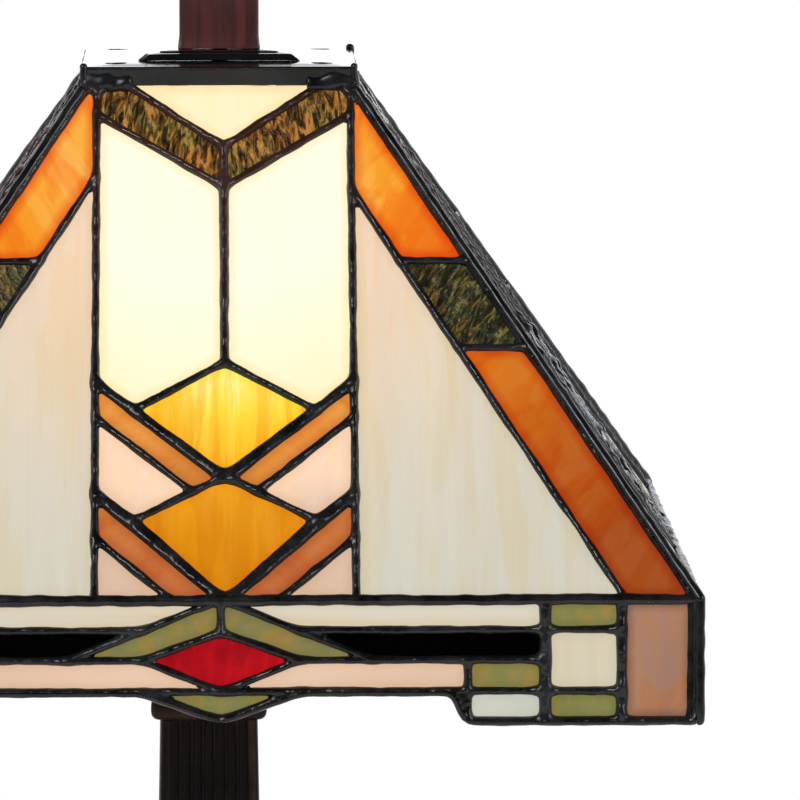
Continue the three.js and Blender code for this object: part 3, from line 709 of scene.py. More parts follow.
def bulb_look():
    look = Look("bulb_frosted_lit", Metallic=0.0, Roughness=0.35)
    place = look.place()
    height = look.node("SeparateXYZ", {"Vector": place}).outputs["Z"]
    warm = look.span(height, 0.415, 0.46)
    mottle = look.noise(place, 160.0, 3.0, 0.5)
    light = look.mix(warm, srgb(255, 196, 120), srgb(255, 244, 214))
    look.set("Emission Color", look.mix(look.math("MULTIPLY", mottle, 0.15), light, (1.0, 0.8, 0.5)))
    look.set("Emission Strength", 2.2)
    look.set("Base Color", look.mix(mottle, (0.8, 0.76, 0.68), (0.86, 0.82, 0.74)))
    return look.material


WOOD = wood_look()
BLACK_PLASTIC = plastic_look("plastic_black", (0.008, 0.008, 0.008), (0.02, 0.019, 0.018))
PORCELAIN = plastic_look("porcelain_glazed", (0.72, 0.7, 0.64), (0.82, 0.8, 0.75))
CARD = plastic_look("fibre_sleeve", (0.2, 0.14, 0.09), (0.3, 0.22, 0.15))
FELT = felt_look()
BULB = bulb_look()

# ---- The leaded pattern: panes of the right half, then those that straddle the centre line ----
# A pane is (glass, grain in degrees from upright, corners). A corner of a panel's pane is
# [distance from the centre line, share of the way down]; of a skirt's, [distance, depth below the eave].
COLUMN = 44.0  # half the width of the middle column of panes
COLUMN_SHIFT = 1.5  # that column stands this far right of the centre line
HIP_INSET = 0.9
BORDER = 23.2  # width of the border along the hips
GREEN_TOP = 0.35
GREEN_FOOT = 0.52
HIP_LEAN = -math.degrees(math.atan2(SPREAD, SLANT))


def hip_x(down):
    return CROWN_HALF + SPREAD * down - HIP_INSET


def band_x(down):
    return hip_x(down) - BORDER


def at_hip_x(x):
    return (x - hip_x(0)) / SPREAD


def block(left, right, head, foot):
    return [(left, head), (right, head), (right, foot), (left, foot)]


def border_pane(head, foot):
    return [(band_x(head), head), (hip_x(head), head), (hip_x(foot), foot), (band_x(foot), foot)]


def panel_half(shift):
    """The panes of one half of a panel. The middle column reaches further out by the shift."""
    column = COLUMN + shift
    start, band = at_hip_x(column), at_hip_x(column + BORDER)
    middle = [
        ("brown_ripple", 8, [(33.6, 0), (COLUMN, 0), (COLUMN, 0.059), (0, 0.204), (0, 0.124)]),
        ("cream_bright", 0, [(0, 0.204), (COLUMN, 0.059), (COLUMN, 0.582), (30.6, 0.638), (0, 0.547)]),
        ("salmon", 52, [(COLUMN, 0.588), (COLUMN, 0.653), (11, 0.795), (1.5, 0.771)]),
        ("peach", 0, [(COLUMN, 0.653), (COLUMN, 0.795), (30.6, 0.849), (11, 0.795)]),
        ("salmon", 52, [(COLUMN, 0.803), (COLUMN, 0.882), (18, 1), (2, 1)]),
        ("peach", 0, [(COLUMN, 0.882), (COLUMN, 1), (18, 1)]),
    ]
    return [
        (
            "orange", HIP_LEAN, [(column, start), (hip_x(GREEN_TOP), GREEN_TOP),
            (band_x(GREEN_TOP), GREEN_TOP), (column, band)],
        ),
        ("green_ripple", HIP_LEAN, border_pane(GREEN_TOP, GREEN_FOOT)),
        ("orange", HIP_LEAN, border_pane(GREEN_FOOT, 1)),
        ("cream", 0, [(column, band), (band_x(1), 1), (column, 1)]),
    ] + moved(middle, shift)


def moved(panes, shift):
    return [(glass, grain, [(x + shift, y) for x, y in nodes]) for glass, grain, nodes in panes]


def mirrored(panes):
    return [(glass, -grain, [(-x, y) for x, y in nodes]) for glass, grain, nodes in panes]


PANEL_CENTRE = [
    ("peach_bright", 0, [(-33.6, 0), (33.6, 0), (0, 0.124)]),
    ("yellow", 0, [(0, 0.547), (30.6, 0.638), (0, 0.765), (-30.6, 0.638)]),
    ("amber", 0, [(0, 0.765), (30.6, 0.849), (0, 1), (-30.6, 0.849)]),
]
PANEL_PANES = panel_half(COLUMN_SHIFT) + mirrored(panel_half(-COLUMN_SHIFT))
PANEL_PANES += moved(PANEL_CENTRE, COLUMN_SHIFT)
# Depths of the skirt's rows of panes below the eave, and distances of its uprights from the centre line
ROW = (0, 10.4, 20.6, 31.2, 41.8)
STILE = (83, 109, 134.7, 159.7)
CHEVRON = [2.5 * depth for depth in ROW]  # distances of the chevron's tip from the centre line
DIAMOND = 26.5  # half the width of the red diamond
SKIRT_HALF = [
    ("cream", 90, [(0, 0), (STILE[1], 0), (STILE[1], ROW[1]), (CHEVRON[1], ROW[1])]),
    ("black", 90, [(CHEVRON[1], ROW[1]), (STILE[1], ROW[1]), (STILE[1], ROW[2]), (CHEVRON[2], ROW[2])]),
    ("green", 66, [(0, 0), (CHEVRON[2], ROW[2]), (DIAMOND, ROW[2]), (0, 11)]),
    ("peach", 90, [(DIAMOND, ROW[2]), (STILE[0], ROW[2]), (STILE[0], ROW[3]), (0, ROW[3])]),
    ("green", 90, block(STILE[1], STILE[2], 0, ROW[1])),
    ("cream", 0, block(STILE[1], STILE[2], ROW[1], ROW[3])),
    ("green", 90, block(STILE[1], STILE[2], ROW[3], ROW[4])),
    ("green", 90, block(STILE[0], STILE[1], ROW[2], ROW[3])),
    ("white", 80, block(STILE[0], STILE[1], ROW[3], ROW[4])),
    ("corner", 0, block(STILE[2], STILE[3], 0, ROW[4])),
]
SKIRT_CENTRE = [
    ("red", 0, [(0, 11), (DIAMOND, ROW[2]), (0, ROW[3]), (-DIAMOND, ROW[2])]),
    ("green", 90, [(-26, ROW[3]), (26, ROW[3]), (0, 41)]),
]
SKIRT_PANES = SKIRT_HALF + mirrored(SKIRT_HALF) + SKIRT_CENTRE
EDGE_DROP = SKIRT_DROP - 1.3
SKIRT_EDGE = [
    (EAVE_HALF, EDGE_DROP), (STILE[0] - 0.8, EDGE_DROP), (STILE[0] - 4.6, ROW[3] + 0.4), (27, ROW[3] + 0.4),
    (0, 41.2),
]


class Plane:
    """One flat side of the shade: where a point of its pattern is in the lamp's frame."""

    def __init__(self, origin, up, panes, node):
        self.origin = np.array(origin, float)
        self.across = np.array([1.0, 0, 0])
        self.up = np.array(up, float) / np.linalg.norm(up)
        self.out = np.cross(self.across, self.up)
        self.node = node
        self.panes = [(glass, grain, self.flat(nodes)) for glass, grain, nodes in panes]

    def flat(self, nodes):
        """Corners in millimetres on the plane, anticlockwise as seen from outside."""
        points = np.array([(x, self.height(y)) for x, y in nodes], float)
        x, y = points.T
        area = np.sum(x * np.roll(y, -1) - np.roll(x, -1) * y)
        return points if area > 0 else points[::-1]

    def height(self, y):
        return SLANT * (1 - y) if self.node == "panel" else -y

    def solid(self, quarter, flat, rise):
        """Points of the lamp for points of the pattern that stand rise in front of the plane."""
        points = self.origin + flat[:, :1] * self.across + flat[:, 1:2] * self.up
        return turned_about(points + np.reshape(rise, (-1, 1)) * self.out, quarter)


def turned_about(points, quarter):
    angle = quarter * math.pi / 2
    c, s = round(math.cos(angle)), round(math.sin(angle))
    return points @ np.array([[c, s, 0], [-s, c, 0], [0, 0, 1.0]])


PANEL = Plane((0, -EAVE_HALF, EAVE_Z), (0, SPREAD, PANEL_RISE), PANEL_PANES, "panel")
SKIRT = Plane((0, -EAVE_HALF, EAVE_Z), (0, 0, 1), SKIRT_PANES, "skirt")
FULL_LIGHT = 1.45e-4  # what the bulb sends to the place where the glow is strongest


def glow_at(points, normal):
    """How much of the bulb's light falls on a point of a flat side: 1 where it is strongest."""
    away = points - np.array([-HARP_LEAN, 0, BULB_Z])
    distance = np.linalg.norm(away, axis=1)
    facing = np.clip(away @ normal / distance, 0.05, 1)
    return np.clip(np.sqrt(facing / distance**2 / FULL_LIGHT), 0, 1)


def edge_distances(points, outline):
    """How far inside each edge of a convex outline the points are, one column an edge."""
    columns = []
    for a, b in zip(outline, np.roll(outline, -1, axis=0)):
        along = (b - a) / np.linalg.norm(b - a)
        inward = np.array([-along[1], along[0]])
        columns.append((points - a) @ inward)
    return np.stack(columns, -1)


def grid_over(low, high, step):
    counts = [max(2, int(math.ceil((h - l) / step)) + 1) for l, h in zip(low, high)]
    axes = [np.linspace(l, h, n) for l, h, n in zip(low, high, counts)]
    x, y = np.meshgrid(*axes, indexing="ij")
    return np.stack([x, y], -1)


def grid_faces(keep):
    """Faces of the cells of a grid that have a corner to keep, and the numbers of the corners they use."""
    nx, ny = keep.shape
    index = np.arange(nx * ny).reshape(nx, ny)
    cells = np.stack([index[:-1, :-1], index[1:, :-1], index[1:, 1:], index[:-1, 1:]], -1).reshape(-1, 4)
    cells = cells[keep.ravel()[cells].any(1)]
    used, renumbered = np.unique(cells, return_inverse=True)
    return used, renumbered.reshape(-1, 4)


# ---- Panes ----
RIPPLED = ("brown_ripple", "green_ripple")
RIPPLE_STEP, PANE_STEP, SOLDER_STEP = 0.9, 2.4, 0.6  # how fine the meshes are
PANE_GAP = 0.3  # a pane ends this far short of the centre line of its solder
CLAMP_ROUNDS = 24


def pane_mesh(plane, quarter, number, glass, grain, outline):
    """One pane as a thin solid that runs in under its solder, with its sheet coordinates and glow."""
    rippled = glass in RIPPLED
    grid = grid_over(outline.min(0), outline.max(0), RIPPLE_STEP if rippled else PANE_STEP)
    points = grid.reshape(-1, 2)
    inside = (edge_distances(points, outline) > PANE_GAP).all(1)
    used, faces = grid_faces(inside.reshape(grid.shape[:2]))
    points = points[used]
    for _ in range(CLAMP_ROUNDS):
        short = PANE_GAP - edge_distances(points, outline)
        worst = short.argmax(1)
        depth = np.clip(short[np.arange(len(points)), worst], 0, None)
        for i, (a, b) in enumerate(zip(outline, np.roll(outline, -1, axis=0))):
            along = (b - a) / np.linalg.norm(b - a)
            points = points + np.outer(depth * (worst == i), (-along[1], along[0]))
    rng = np.random.default_rng(1000 * quarter + number + (500 if plane.node == "skirt" else 0))
    tilt = rng.normal(size=2) * 0.0025
    rise = GLASS_FRONT + (points - points.mean(0)) @ tilt * 0.6
    if rippled:
        rise = rise + 0.22 * wave(points, 3.4, number) * np.abs(wave(points, 9.0, number + 7)) - 0.1
    else:
        rise = rise + 0.05 * wave(points, 30.0, number)
    if plane.node == "panel":
        points[:, 1] = np.minimum(points[:, 1], PANEL_HEAD)
    front = plane.solid(quarter, points, rise)
    back = plane.solid(quarter, points, np.full(len(points), GLASS_BACK))
    # Distance in from the solder, for the painted shade near each pane's edges.
    edge = np.clip((edge_distances(points, outline).min(1) - 1.2) / 7, 0, 1)
    normal = turned_about(plane.out[None], quarter)[0]
    glow = glow_at(np.concatenate([front, back]), normal) * rng.uniform(0.97, 1.03)
    lean = math.radians(grain)
    local = points @ np.array([[math.cos(lean), math.sin(lean)], [-math.sin(lean), math.cos(lean)]]).T / 100
    seed = rng.uniform(0, 50)
    sheet = np.column_stack([local + rng.uniform(0, 9, 2), np.full(len(local), seed)])
    verts, faces = thick_sheet(front, back, faces)
    return verts, faces, {"glow": glow, "edge": np.tile(edge, 2), "sheet": np.concatenate([sheet, sheet])}


def clean(obj):
    """Drops the faces with no area that a clamped grid leaves."""
    bm = bmesh.new()
    bm.from_mesh(obj.data)
    bmesh.ops.remove_doubles(bm, verts=bm.verts, dist=1e-6)
    bmesh.ops.dissolve_degenerate(bm, dist=1e-6, edges=bm.edges)
    bm.to_mesh(obj.data)
    bm.free()


def add_panes(plane, quarter, side):
    kinds = {}
    for number, (glass, grain, outline) in enumerate(plane.panes):
        kinds.setdefault(glass, []).append(pane_mesh(plane, quarter, number, glass, grain, outline))
    for glass, made in kinds.items():
        shape = joined([(v, f) for v, f, _ in made])
        fields = {key: np.concatenate([own[key] for _, _, own in made]) for key in ("glow", "edge", "sheet")}
        name = f"{plane.node}_panes_{glass}_{side}"
        node = f"{plane.node}_glass_{side}"
        clean(publish(name, shape, GLASS[glass], "shade", node, fields=fields))


# ---- Solder between the panes ----


def pattern_depth(plane, points):
    """How deep inside its pane each point is, 0 on and beyond the centre lines of the solder, with the
    corners of each pane rounded by a soft minimum. The rim covers the upper edge of a panel, so that edge
    has no solder."""
    depth = np.zeros(len(points))
    soft = 0.3
    for _, _, outline in plane.panes:
        edges = edge_distances(points, outline)
        inside = edges.min(1) > 0
        if plane.node == "panel":
            top = (outline[:, 1] > SLANT - 0.1) & (np.roll(outline[:, 1], -1) > SLANT - 0.1)
            edges = edges[:, ~top]
        rounded = -soft * np.log(np.exp(-np.clip(edges[inside], 0, 60) / soft).sum(1))
        depth[inside] = np.maximum(rounded, 0)
    return depth


STILE_EXTRA = (1.1, 0.75, -0.2)  # how much wider the skirt's uprights are than the other runs
FOOT_EXTRA = 1.0  # and the run along its foot


def bead_width(plane, points, seed):
    """Half the width of the solder: it wanders, and swells where runs meet."""
    half = LEAD_HALF + 0.13 * wave(points, 22.0, seed) + 0.05 * wave(points, 7.0, seed + 1)
    corners = np.unique(np.round(np.concatenate([outline for _, _, outline in plane.panes]), 1), axis=0)
    for corner in corners:
        half = half + 0.5 * np.exp(-((points - corner) ** 2).sum(1) / 8.0)
    if plane.node == "panel":
        for x in (-COLUMN, COLUMN):
            away = (points - (x + COLUMN_SHIFT - np.sign(x) * 1.5, SLANT - 1)) / (4.2, 2.6)
            half = half + 3.4 * np.exp(-(away**2).sum(1))
        return half + 0.35 * np.exp(-(((points[:, 0] - COLUMN_SHIFT) / 2.5) ** 2))
    for stile, extra in zip(STILE[1:], STILE_EXTRA):
        half = half + extra * np.exp(-(((np.abs(points[:, 0]) - stile) / 3.0) ** 2))
    return half + FOOT_EXTRA * np.exp(-(((points[:, 1] + ROW[4]) / 2.5) ** 2))


def outline_depth(plane, points):
    if plane.node == "panel":
        slope = SPREAD / SLANT
        side = (EAVE_HALF - slope * points[:, 1] - 0.9 - np.abs(points[:, 0])) / math.hypot(1, slope)
        return np.minimum(np.minimum(side, points[:, 1] - 0.3), PANEL_HEAD - points[:, 1])
    edge_x, edge_y = np.array(sorted((x, -y) for x, y in SKIRT_EDGE)).T
    floor = np.interp(np.abs(points[:, 0]), edge_x, edge_y)
    return np.minimum(np.minimum(159.9 - np.abs(points[:, 0]), points[:, 1] - floor), -0.3 - points[:, 1])


def solder_field(plane, points, seed):
    """How far inside the solder's edge each point is, then its depth in a pane and the solder's width."""
    half = bead_width(plane, points, seed)
    depth = pattern_depth(plane, points)
    return np.minimum(half - depth, outline_depth(plane, points)), depth, half


def drawn_to_edge(plane, points, seed):
    """Moves points that lie just outside the solder on to its edge."""
    for _ in range(4):
        level = solder_field(plane, points, seed)[0]
        ahead = [solder_field(plane, points + shift, seed)[0] for shift in np.eye(2) * 0.05]
        slope = (np.stack(ahead, -1) - level[:, None]) / 0.05
        move = -level[:, None] * slope / np.clip((slope**2).sum(1), 0.4, None)[:, None]
        length = np.linalg.norm(move, axis=1)[:, None]
        points = points + move * np.minimum(1, 0.4 / np.clip(length, 1e-9, None))
    return points


def add_solder(plane, quarter, side):
    """The lattice of domed beads on both faces of a flat side, as one solid."""
    low, high = ((-160, 0), (160, SLANT)) if plane.node == "panel" else ((-160, -SKIRT_DROP), (160, 0))
    grid = grid_over(low, high, SOLDER_STEP)
    seed = 31 * quarter + (7 if plane.node == "skirt" else 0)
    points = grid.reshape(-1, 2)
    used, faces = grid_faces(solder_field(plane, points, seed)[0].reshape(grid.shape[:2]) > 0)
    flat = points[used]
    outside = solder_field(plane, flat, seed)[0] < 0
    flat[outside] = drawn_to_edge(plane, flat[outside], seed)
    level, depth, half = solder_field(plane, flat, seed)
    share = np.clip(depth / half, 0, 1)
    dome = np.where(outside, 0.0, np.sqrt(np.clip(1 - share**2, 0, 1)) * np.clip(half / LEAD_HALF, 0.8, 1.5))
    lumps = 1 + 0.1 * wave(flat, 7.0, seed + 3) + 0.05 * wave(flat, 2.5, seed + 4)
    front = plane.solid(quarter, flat, GLASS_FRONT - 0.1 + (LEAD_RISE + 0.1 - GLASS_FRONT) * dome * lumps)
    back = plane.solid(quarter, flat, GLASS_BACK + 0.1 - 1.0 * dome * lumps)
    shape = thick_sheet(front, back, faces)
    # The glow that the solder's painted reddish light follows.
    glow = glow_at(shape[0], turned_about(plane.out[None], quarter)[0])
    name, node = f"{plane.node}_solder_{side}", f"{plane.node}_leading_{side}"
    clean(publish(name, shape, SOLDER, "shade", node, sharp=60, fields={"glow": glow}))


for quarter, side in enumerate(SIDES):
    for plane in (PANEL, SKIRT):
        add_panes(plane, quarter, side)
        add_solder(plane, quarter, side)


# ---- Solder seams and edges ----
SEAM_R, EAVE_R, EDGE_R = 1.75, 1.95, 1.6
INWARD = np.array([[0, 1.0, 0]])
SEAM_OUT = 0.95  # how far the seams' centre lines stand outside the corner of the shade


def add_bead(name, path, radius, seed, replaced=(), **options):
    """A run of solder that no light from the bulb reaches."""
    shape = bead(path, radius, seed, **options)
    glow = np.zeros(len(shape[0]))
    publish(name, shape, SOLDER, "shade", replaced, sharp=60, fields={"glow": glow})


def skirt_edge_path():
    half = [(x, -y) for x, y in SKIRT_EDGE[1:]]
    end = (EAVE_HALF - 2, half[0][1])
    outline = [end, *half, *((-x, y) for x, y in half[::-1][1:]), (-end[0], end[1])]
    path = smoothed(outline, 4.0)
    return np.column_stack(
        [path[:, 0], np.full(len(path), -EAVE_HALF - (GLASS_BACK / 2)), EAVE_Z + path[:, 1]]
    )


for quarter, (side, corner) in enumerate(zip(SIDES, CORNERS)):
    foot = np.array([EAVE_HALF + SEAM_OUT, -EAVE_HALF - SEAM_OUT, EAVE_Z])
    crown = np.array([CROWN_HALF + 0.4, -CROWN_HALF - 0.4, EAVE_Z + PANEL_RISE])
    along = (crown - foot) / np.linalg.norm(crown - foot)
    hip = turned_about(np.array([foot, crown - along * 3.0]), quarter)
    add_bead(f"hip_bead_{corner}", hip, SEAM_R, 50 + quarter, f"hip_seam_{corner}")
    edge = turned_about(np.array([foot, foot - [0, 0, SKIRT_DROP - SEAM_R]]), quarter)
    add_bead(f"corner_bead_{corner}", edge, SEAM_R, 60 + quarter, f"corner_seam_{corner}", up=(1, 0.3, 0))
    reach = EAVE_HALF - 0.5
    eave = np.array([[-reach, -EAVE_HALF - 0.2, EAVE_Z - 0.2], [reach, -EAVE_HALF - 0.2, EAVE_Z - 0.2]])
    add_bead(f"eave_bead_{side}", turned_about(eave, quarter), EAVE_R, 70 + quarter, lumps=0.12)
    level = turned_about(INWARD, quarter)[0]
    lower = turned_about(skirt_edge_path(), quarter)
    add_bead(f"skirt_edge_bead_{side}", lower, EDGE_R, 80 + quarter, up=level, squash=(1.0, 1.35), lumps=0.07)

# ---- Rim, cap, boss and finial ----
RIM_LOW, RIM_HIGH = box_mm("top_rim")
POST_LOW, POST_HIGH = box_mm("finial_post")
STUD_LOW, STUD_HIGH = box_mm("harp_stud")
RIM_FOLD = 5  # width of the rim's metal
BOSS_STEP = 20.7  # half the width of the boss's raised square
DROOP_CUTS = (28.6, 31, 34, 37, 40, 43, 46.4)


def add_top():
    """The rim, the cap that it carries and the stepped plate under the finial."""
    half, low, high = RIM_HIGH[1], RIM_LOW[2], RIM_HIGH[2]
    inner = half - RIM_FOLD
    wall = [(inner, low), (half - 0.4, low), (half - 0.1, low + 0.2), (half, low + 0.8)]
    wall += [(half, high), (inner, high), (inner, low)]
    shape = square_turned(smoothed(wall, 0.25), 1.3, along=16)
    publish("top_rim_folded", shape, RIM, "shade", "top_rim")
    softened("shade_cap", 0.3, CAP, "shade", angle=40, cuts=DROOP_CUTS)
    (_, _, low), (_, half, high) = box_mm("finial_boss")
    shoulder = high - 0.6
    boss = [(4, low), (half, low), (half - 2.9, shoulder), (BOSS_STEP, shoulder)]
    boss += [(BOSS_STEP, high), (4, high), (4, low)]
    shape = square_turned(smoothed(boss, 0.35), 1.2, along=8)
    publish("finial_boss_bevelled", shape, CAP, "shade", "finial_boss")


# How far the bead up each corner of the rim stands above it, and the pad's profile: [distance out, height]
RIM_PROUD = {"front_right": 0.9, "back_right": 1.2, "back_left": -0.6, "front_left": 0.9}
RIM_PAD = ((31.5, 0.2), (34, 0.6), (38, 1.2), (43, 1.3), (46.4, 0.4))


def add_rim_solder():
    """The solder that holds the rim: a lumpy pad at both ends of each side, and a bead up each corner."""
    half, low, high = RIM_HIGH[1], RIM_LOW[2], RIM_HIGH[2]
    for quarter, (side, corner) in enumerate(zip(SIDES, CORNERS)):
        x, y = half - 0.6, 0.6 - half
        post = turned_about(np.array([[x, y, low - 1.5], [x, y, high + RIM_PROUD[corner]]]), quarter)
        add_bead(
            f"rim_corner_bead_{corner}", post, 1.35, 90 + quarter, step=1.0, up=(1, 0.2, 0), lumps=0.16,
            size=4.0,
        )
        for hand, sign in (("left", -1), ("right", 1)):
            path = [[sign * x, -half + 0.5, low + up] for x, up in RIM_PAD]
            name = f"rim_solder_{side}_{hand}"
            level = turned_about(INWARD, quarter)[0]
            options = {"step": 0.8, "lumps": 0.2, "size": 5.0, "squash": (2.3, 1.3), "up": level}
            add_bead(
                name, turned_about(np.array(path), quarter), 1.3, 120 + quarter * 2 + (sign > 0), **options,
            )


add_top()
add_rim_solder()


def threads(pitch, depth, only=None):
    """A radius that rises and falls along a helix, all over or only where the profile has one radius."""

    def radius(angle, z, r):
        if only is not None and abs(r - only) >= 0.01:
            return np.full(len(angle), r)
        return r + depth * np.cos(2 * math.pi * z / pitch - angle)

    return radius


def above(start, *rows):
    """Rows of a profile, [radius, height], whose heights count from a start."""
    return [(r, start + up) for r, up in rows]


def levels(r, low, high, step):
    return [[r, z] for z in np.linspace(low, high, max(2, int((high - low) / step)))]


def add_finial():
    low, high = POST_LOW[2], POST_HIGH[2]
    profile = above(low, (0, 20), (5.3, 20), (5.3, 0), (14.5, 0), (14.4, 0.8), (14.15, 2.4), (13.95, 5))
    profile += above(high, (13.95, -13.4), (14.3, -12.6), (16.2, -11.4), (16.2, -8.6), (15.2, -7.6), (0, 0))
    shape = square_turned(smoothed(profile, 0.6), 0.9)
    publish("finial_post_stained", shape, WOOD, "finial", "finial_post")
    bore = levels(3.4, low + 0.1, low + 18, 0.3)[::-1]
    wall = above(low, (5, 0.1), (5, 18)) + bore + above(low, (5, 0.1))
    shape = turned(wall, 40)
    publish("finial_insert_threaded", shape, BRASS, "finial", "finial_insert")


add_finial()

# ---- Foot and column ----
FOOT_TOP = box_mm("base_foot")[1][2]
SHAFT_LOW, SHAFT_HIGH = box_mm("column_shaft")
TUBE_BORE = 5.5


def add_foot():
    arc = np.radians(np.linspace(0, 90, 19))
    sweep = [(33 + 28 * (1 - math.sin(a)), 24 + 24 * (1 - math.cos(a))) for a in arc]
    steps = [
        (84, 2.3), (84, 13.4), (82.2, 16), (72.6, 16), (72.6, 17.2), (72, 17.4), (72, 22), (70, 24),
        (62.4, 24), (62.4, 24.8),
    ]
    inside = [
        (TUBE_BORE, FOOT_TOP), (TUBE_BORE, 42), (24, 42), (34, 27), (54, 19.5), (66, 18.5), (66, 12),
        (77, 12), (77, 2.3),
    ]
    outside = smoothed(steps + [(61, 24.8)], 0.9).tolist() + sweep[1:]
    outside += [(33, 49.5), (32.2, 50.2), (32.2, 52.8), (31.4, FOOT_TOP)]
    profile = [(80, 2.3)] + outside + inside + [(80, 2.3)]
    shape = square_turned(profile, 2.2, along=6)
    publish("base_foot_cast", shape, PATINA, "stand", "base_foot")


def moulding(node, top, soft, *rows):
    """The profile of a piece bored for the tube: rows of [half width, height above its foot], and its top."""
    low, high = (corner[2] for corner in box_mm(node))
    outside = above(low, *rows) + [(top, high)]
    return smoothed([(TUBE_BORE, low), *outside, (TUBE_BORE, high), (TUBE_BORE, low)], soft)


def add_plinth():
    rows = [(30, 0), (30, 4.6), (29.2, 5.8), (27, 6.4), (25.4, 8), (25, 10), (25.4, 12), (26.4, 13.8)]
    rows += [(27.2, 15), (27.2, 17.6), (25.8, 19), (24, 19.6)]
    shape = square_turned(moulding("column_plinth", 23.6, 0.6, *rows), 1.6, along=4)
    publish("column_plinth_moulded", shape, PATINA, "stand", "column_plinth")


FLUTES = 7
FLUTE_STEPS = 10
FLUTE_DEPTH = 1.55
FLUTE_BAND = 17.3  # half the width of the flutes of one face, at the foot
FOOT_HALF, HEAD_HALF = 21.5, 17.3  # half the shaft's width at its foot and at its head


def fluted_ring(half, z, flute_depth):
    """The shaft's outline at one height: round flutes side by side on each face, with ridges between."""
    face = []
    corner = 2.4
    for a in np.radians(np.linspace(-135, -90, 4)):
        face.append((-FOOT_HALF + corner + corner * math.cos(a), -FOOT_HALF + corner + corner * math.sin(a)))
    pitch = 2 * FLUTE_BAND / FLUTES
    for i in range(FLUTES * FLUTE_STEPS + 1):
        across = (i % FLUTE_STEPS) / FLUTE_STEPS
        hollow = max(0.0, 1 - ((across - 0.5) / 0.42) ** 2) ** 0.5
        face.append((-FLUTE_BAND + i * pitch / FLUTE_STEPS, -FOOT_HALF + flute_depth * hollow))
    for a in np.radians((-36, -18)):
        face.append((FOOT_HALF - corner + corner * math.cos(a), -FOOT_HALF + corner + corner * math.sin(a)))
    turns = ((1, 0), (0, 1), (-1, 0), (0, -1))
    ring = np.concatenate([np.array(face) @ np.array([[c, s], [-s, c]]) for c, s in turns])
    return np.column_stack([ring * half / FOOT_HALF, np.full(len(ring), z)])


def add_shaft():
    low, high = SHAFT_LOW[2], SHAFT_HIGH[2]
    foot = [low, low + 4, low + 5, low + 6, low + 7.5, low + 9.5]
    heights = np.concatenate([foot, np.linspace(low + 12, high - 3, 14), [high - 1.5, high]])
    rings = []
    for z in heights:
        share = (z - low) / (high - low)
        open_up = min(1.0, max(0.0, (z - low - 4.5) / 5.0))
        half = FOOT_HALF + (HEAD_HALF - FOOT_HALF) * share
        rings.append(fluted_ring(half, z, FLUTE_DEPTH * math.sqrt(open_up)))
    shape = loft([rings[0], *rings, rings[-1]], True, True, False)
    publish("column_shaft_fluted", shape, PATINA, "stand", "column_shaft", sharp=50)


def add_capital():
    rows = [(18.2, 0), (19.2, 0.4), (20.2, 1.6), (20.5, 3), (20.5, 5.4), (20.1, 6.8), (19, 8)]
    shape = square_turned(moulding("column_capital", 17.6, 0.5, *rows), 1.6, along=3)
    publish("column_capital_slab", shape, PATINA, "stand", "column_capital")


def add_neck():
    rows = [
        (13, 0), (13, 2.2), (12, 3.2), (9.6, 5.8), (8.4, 9), (8.2, 12), (8.7, 15.6), (10, 18.6),
        (11.5, 19.6),
    ]
    shape = turned(moulding("column_neck", 11.5, 0.6, *rows), 56)
    publish("column_neck_turned", shape, PATINA, "stand", "column_neck")


add_foot()
add_plinth()
add_shaft()
add_capital()
add_neck()
softened("felt_pad", 0.6, FELT, "stand")
softened("bottom_plate", 0.3, STEEL, "stand")
softened("base_nut", 0.5, STEEL, "stand")
softened("base_washer", 0.3, STEEL, "stand")
softened("cable_inlet_bush", 0.5, BLACK_PLASTIC, "stand")
softened("base_weight", 1.2, IRON, "stand")

# ---- Harp ----
LEG_X = 29.0
BEND_Z = 394.0  # the bow leans to the right from here up
STUD_R, STUD_PITCH = 2.8, 1.0
GRIP_R, FERRULE_R, FERRULE_BORE = 4.1, 3.8, 2.6
HARP_HALF = [
    (29, 360.4), (29, 377), (29, BEND_Z), (38, 412), (50, 438), (54, 466), (50, 494), (38, 519), (20, 535.5),
]


def spline(points, steps):
    """A smooth line through every point."""
    points = [np.asarray(p, float) for p in points]
    padded = [2 * points[0] - points[1], *points, 2 * points[-1] - points[-2]]
    out = []
    for p0, p1, p2, p3 in zip(padded, padded[1:], padded[2:], padded[3:]):
        for t in np.linspace(0, 1, steps, endpoint=False):
            square, cube = 2 * p0 - 5 * p1 + 4 * p2 - p3, 3 * p1 - p0 - 3 * p2 + p3
            out.append(0.5 * (2 * p1 + (p2 - p0) * t + square * t**2 + cube * t**3))
    return np.array([*out, points[-1]])


def knurled(angle, _, r):
    return r + 0.09 * np.cos(angle * 24) * (abs(r - GRIP_R) < 0.01)


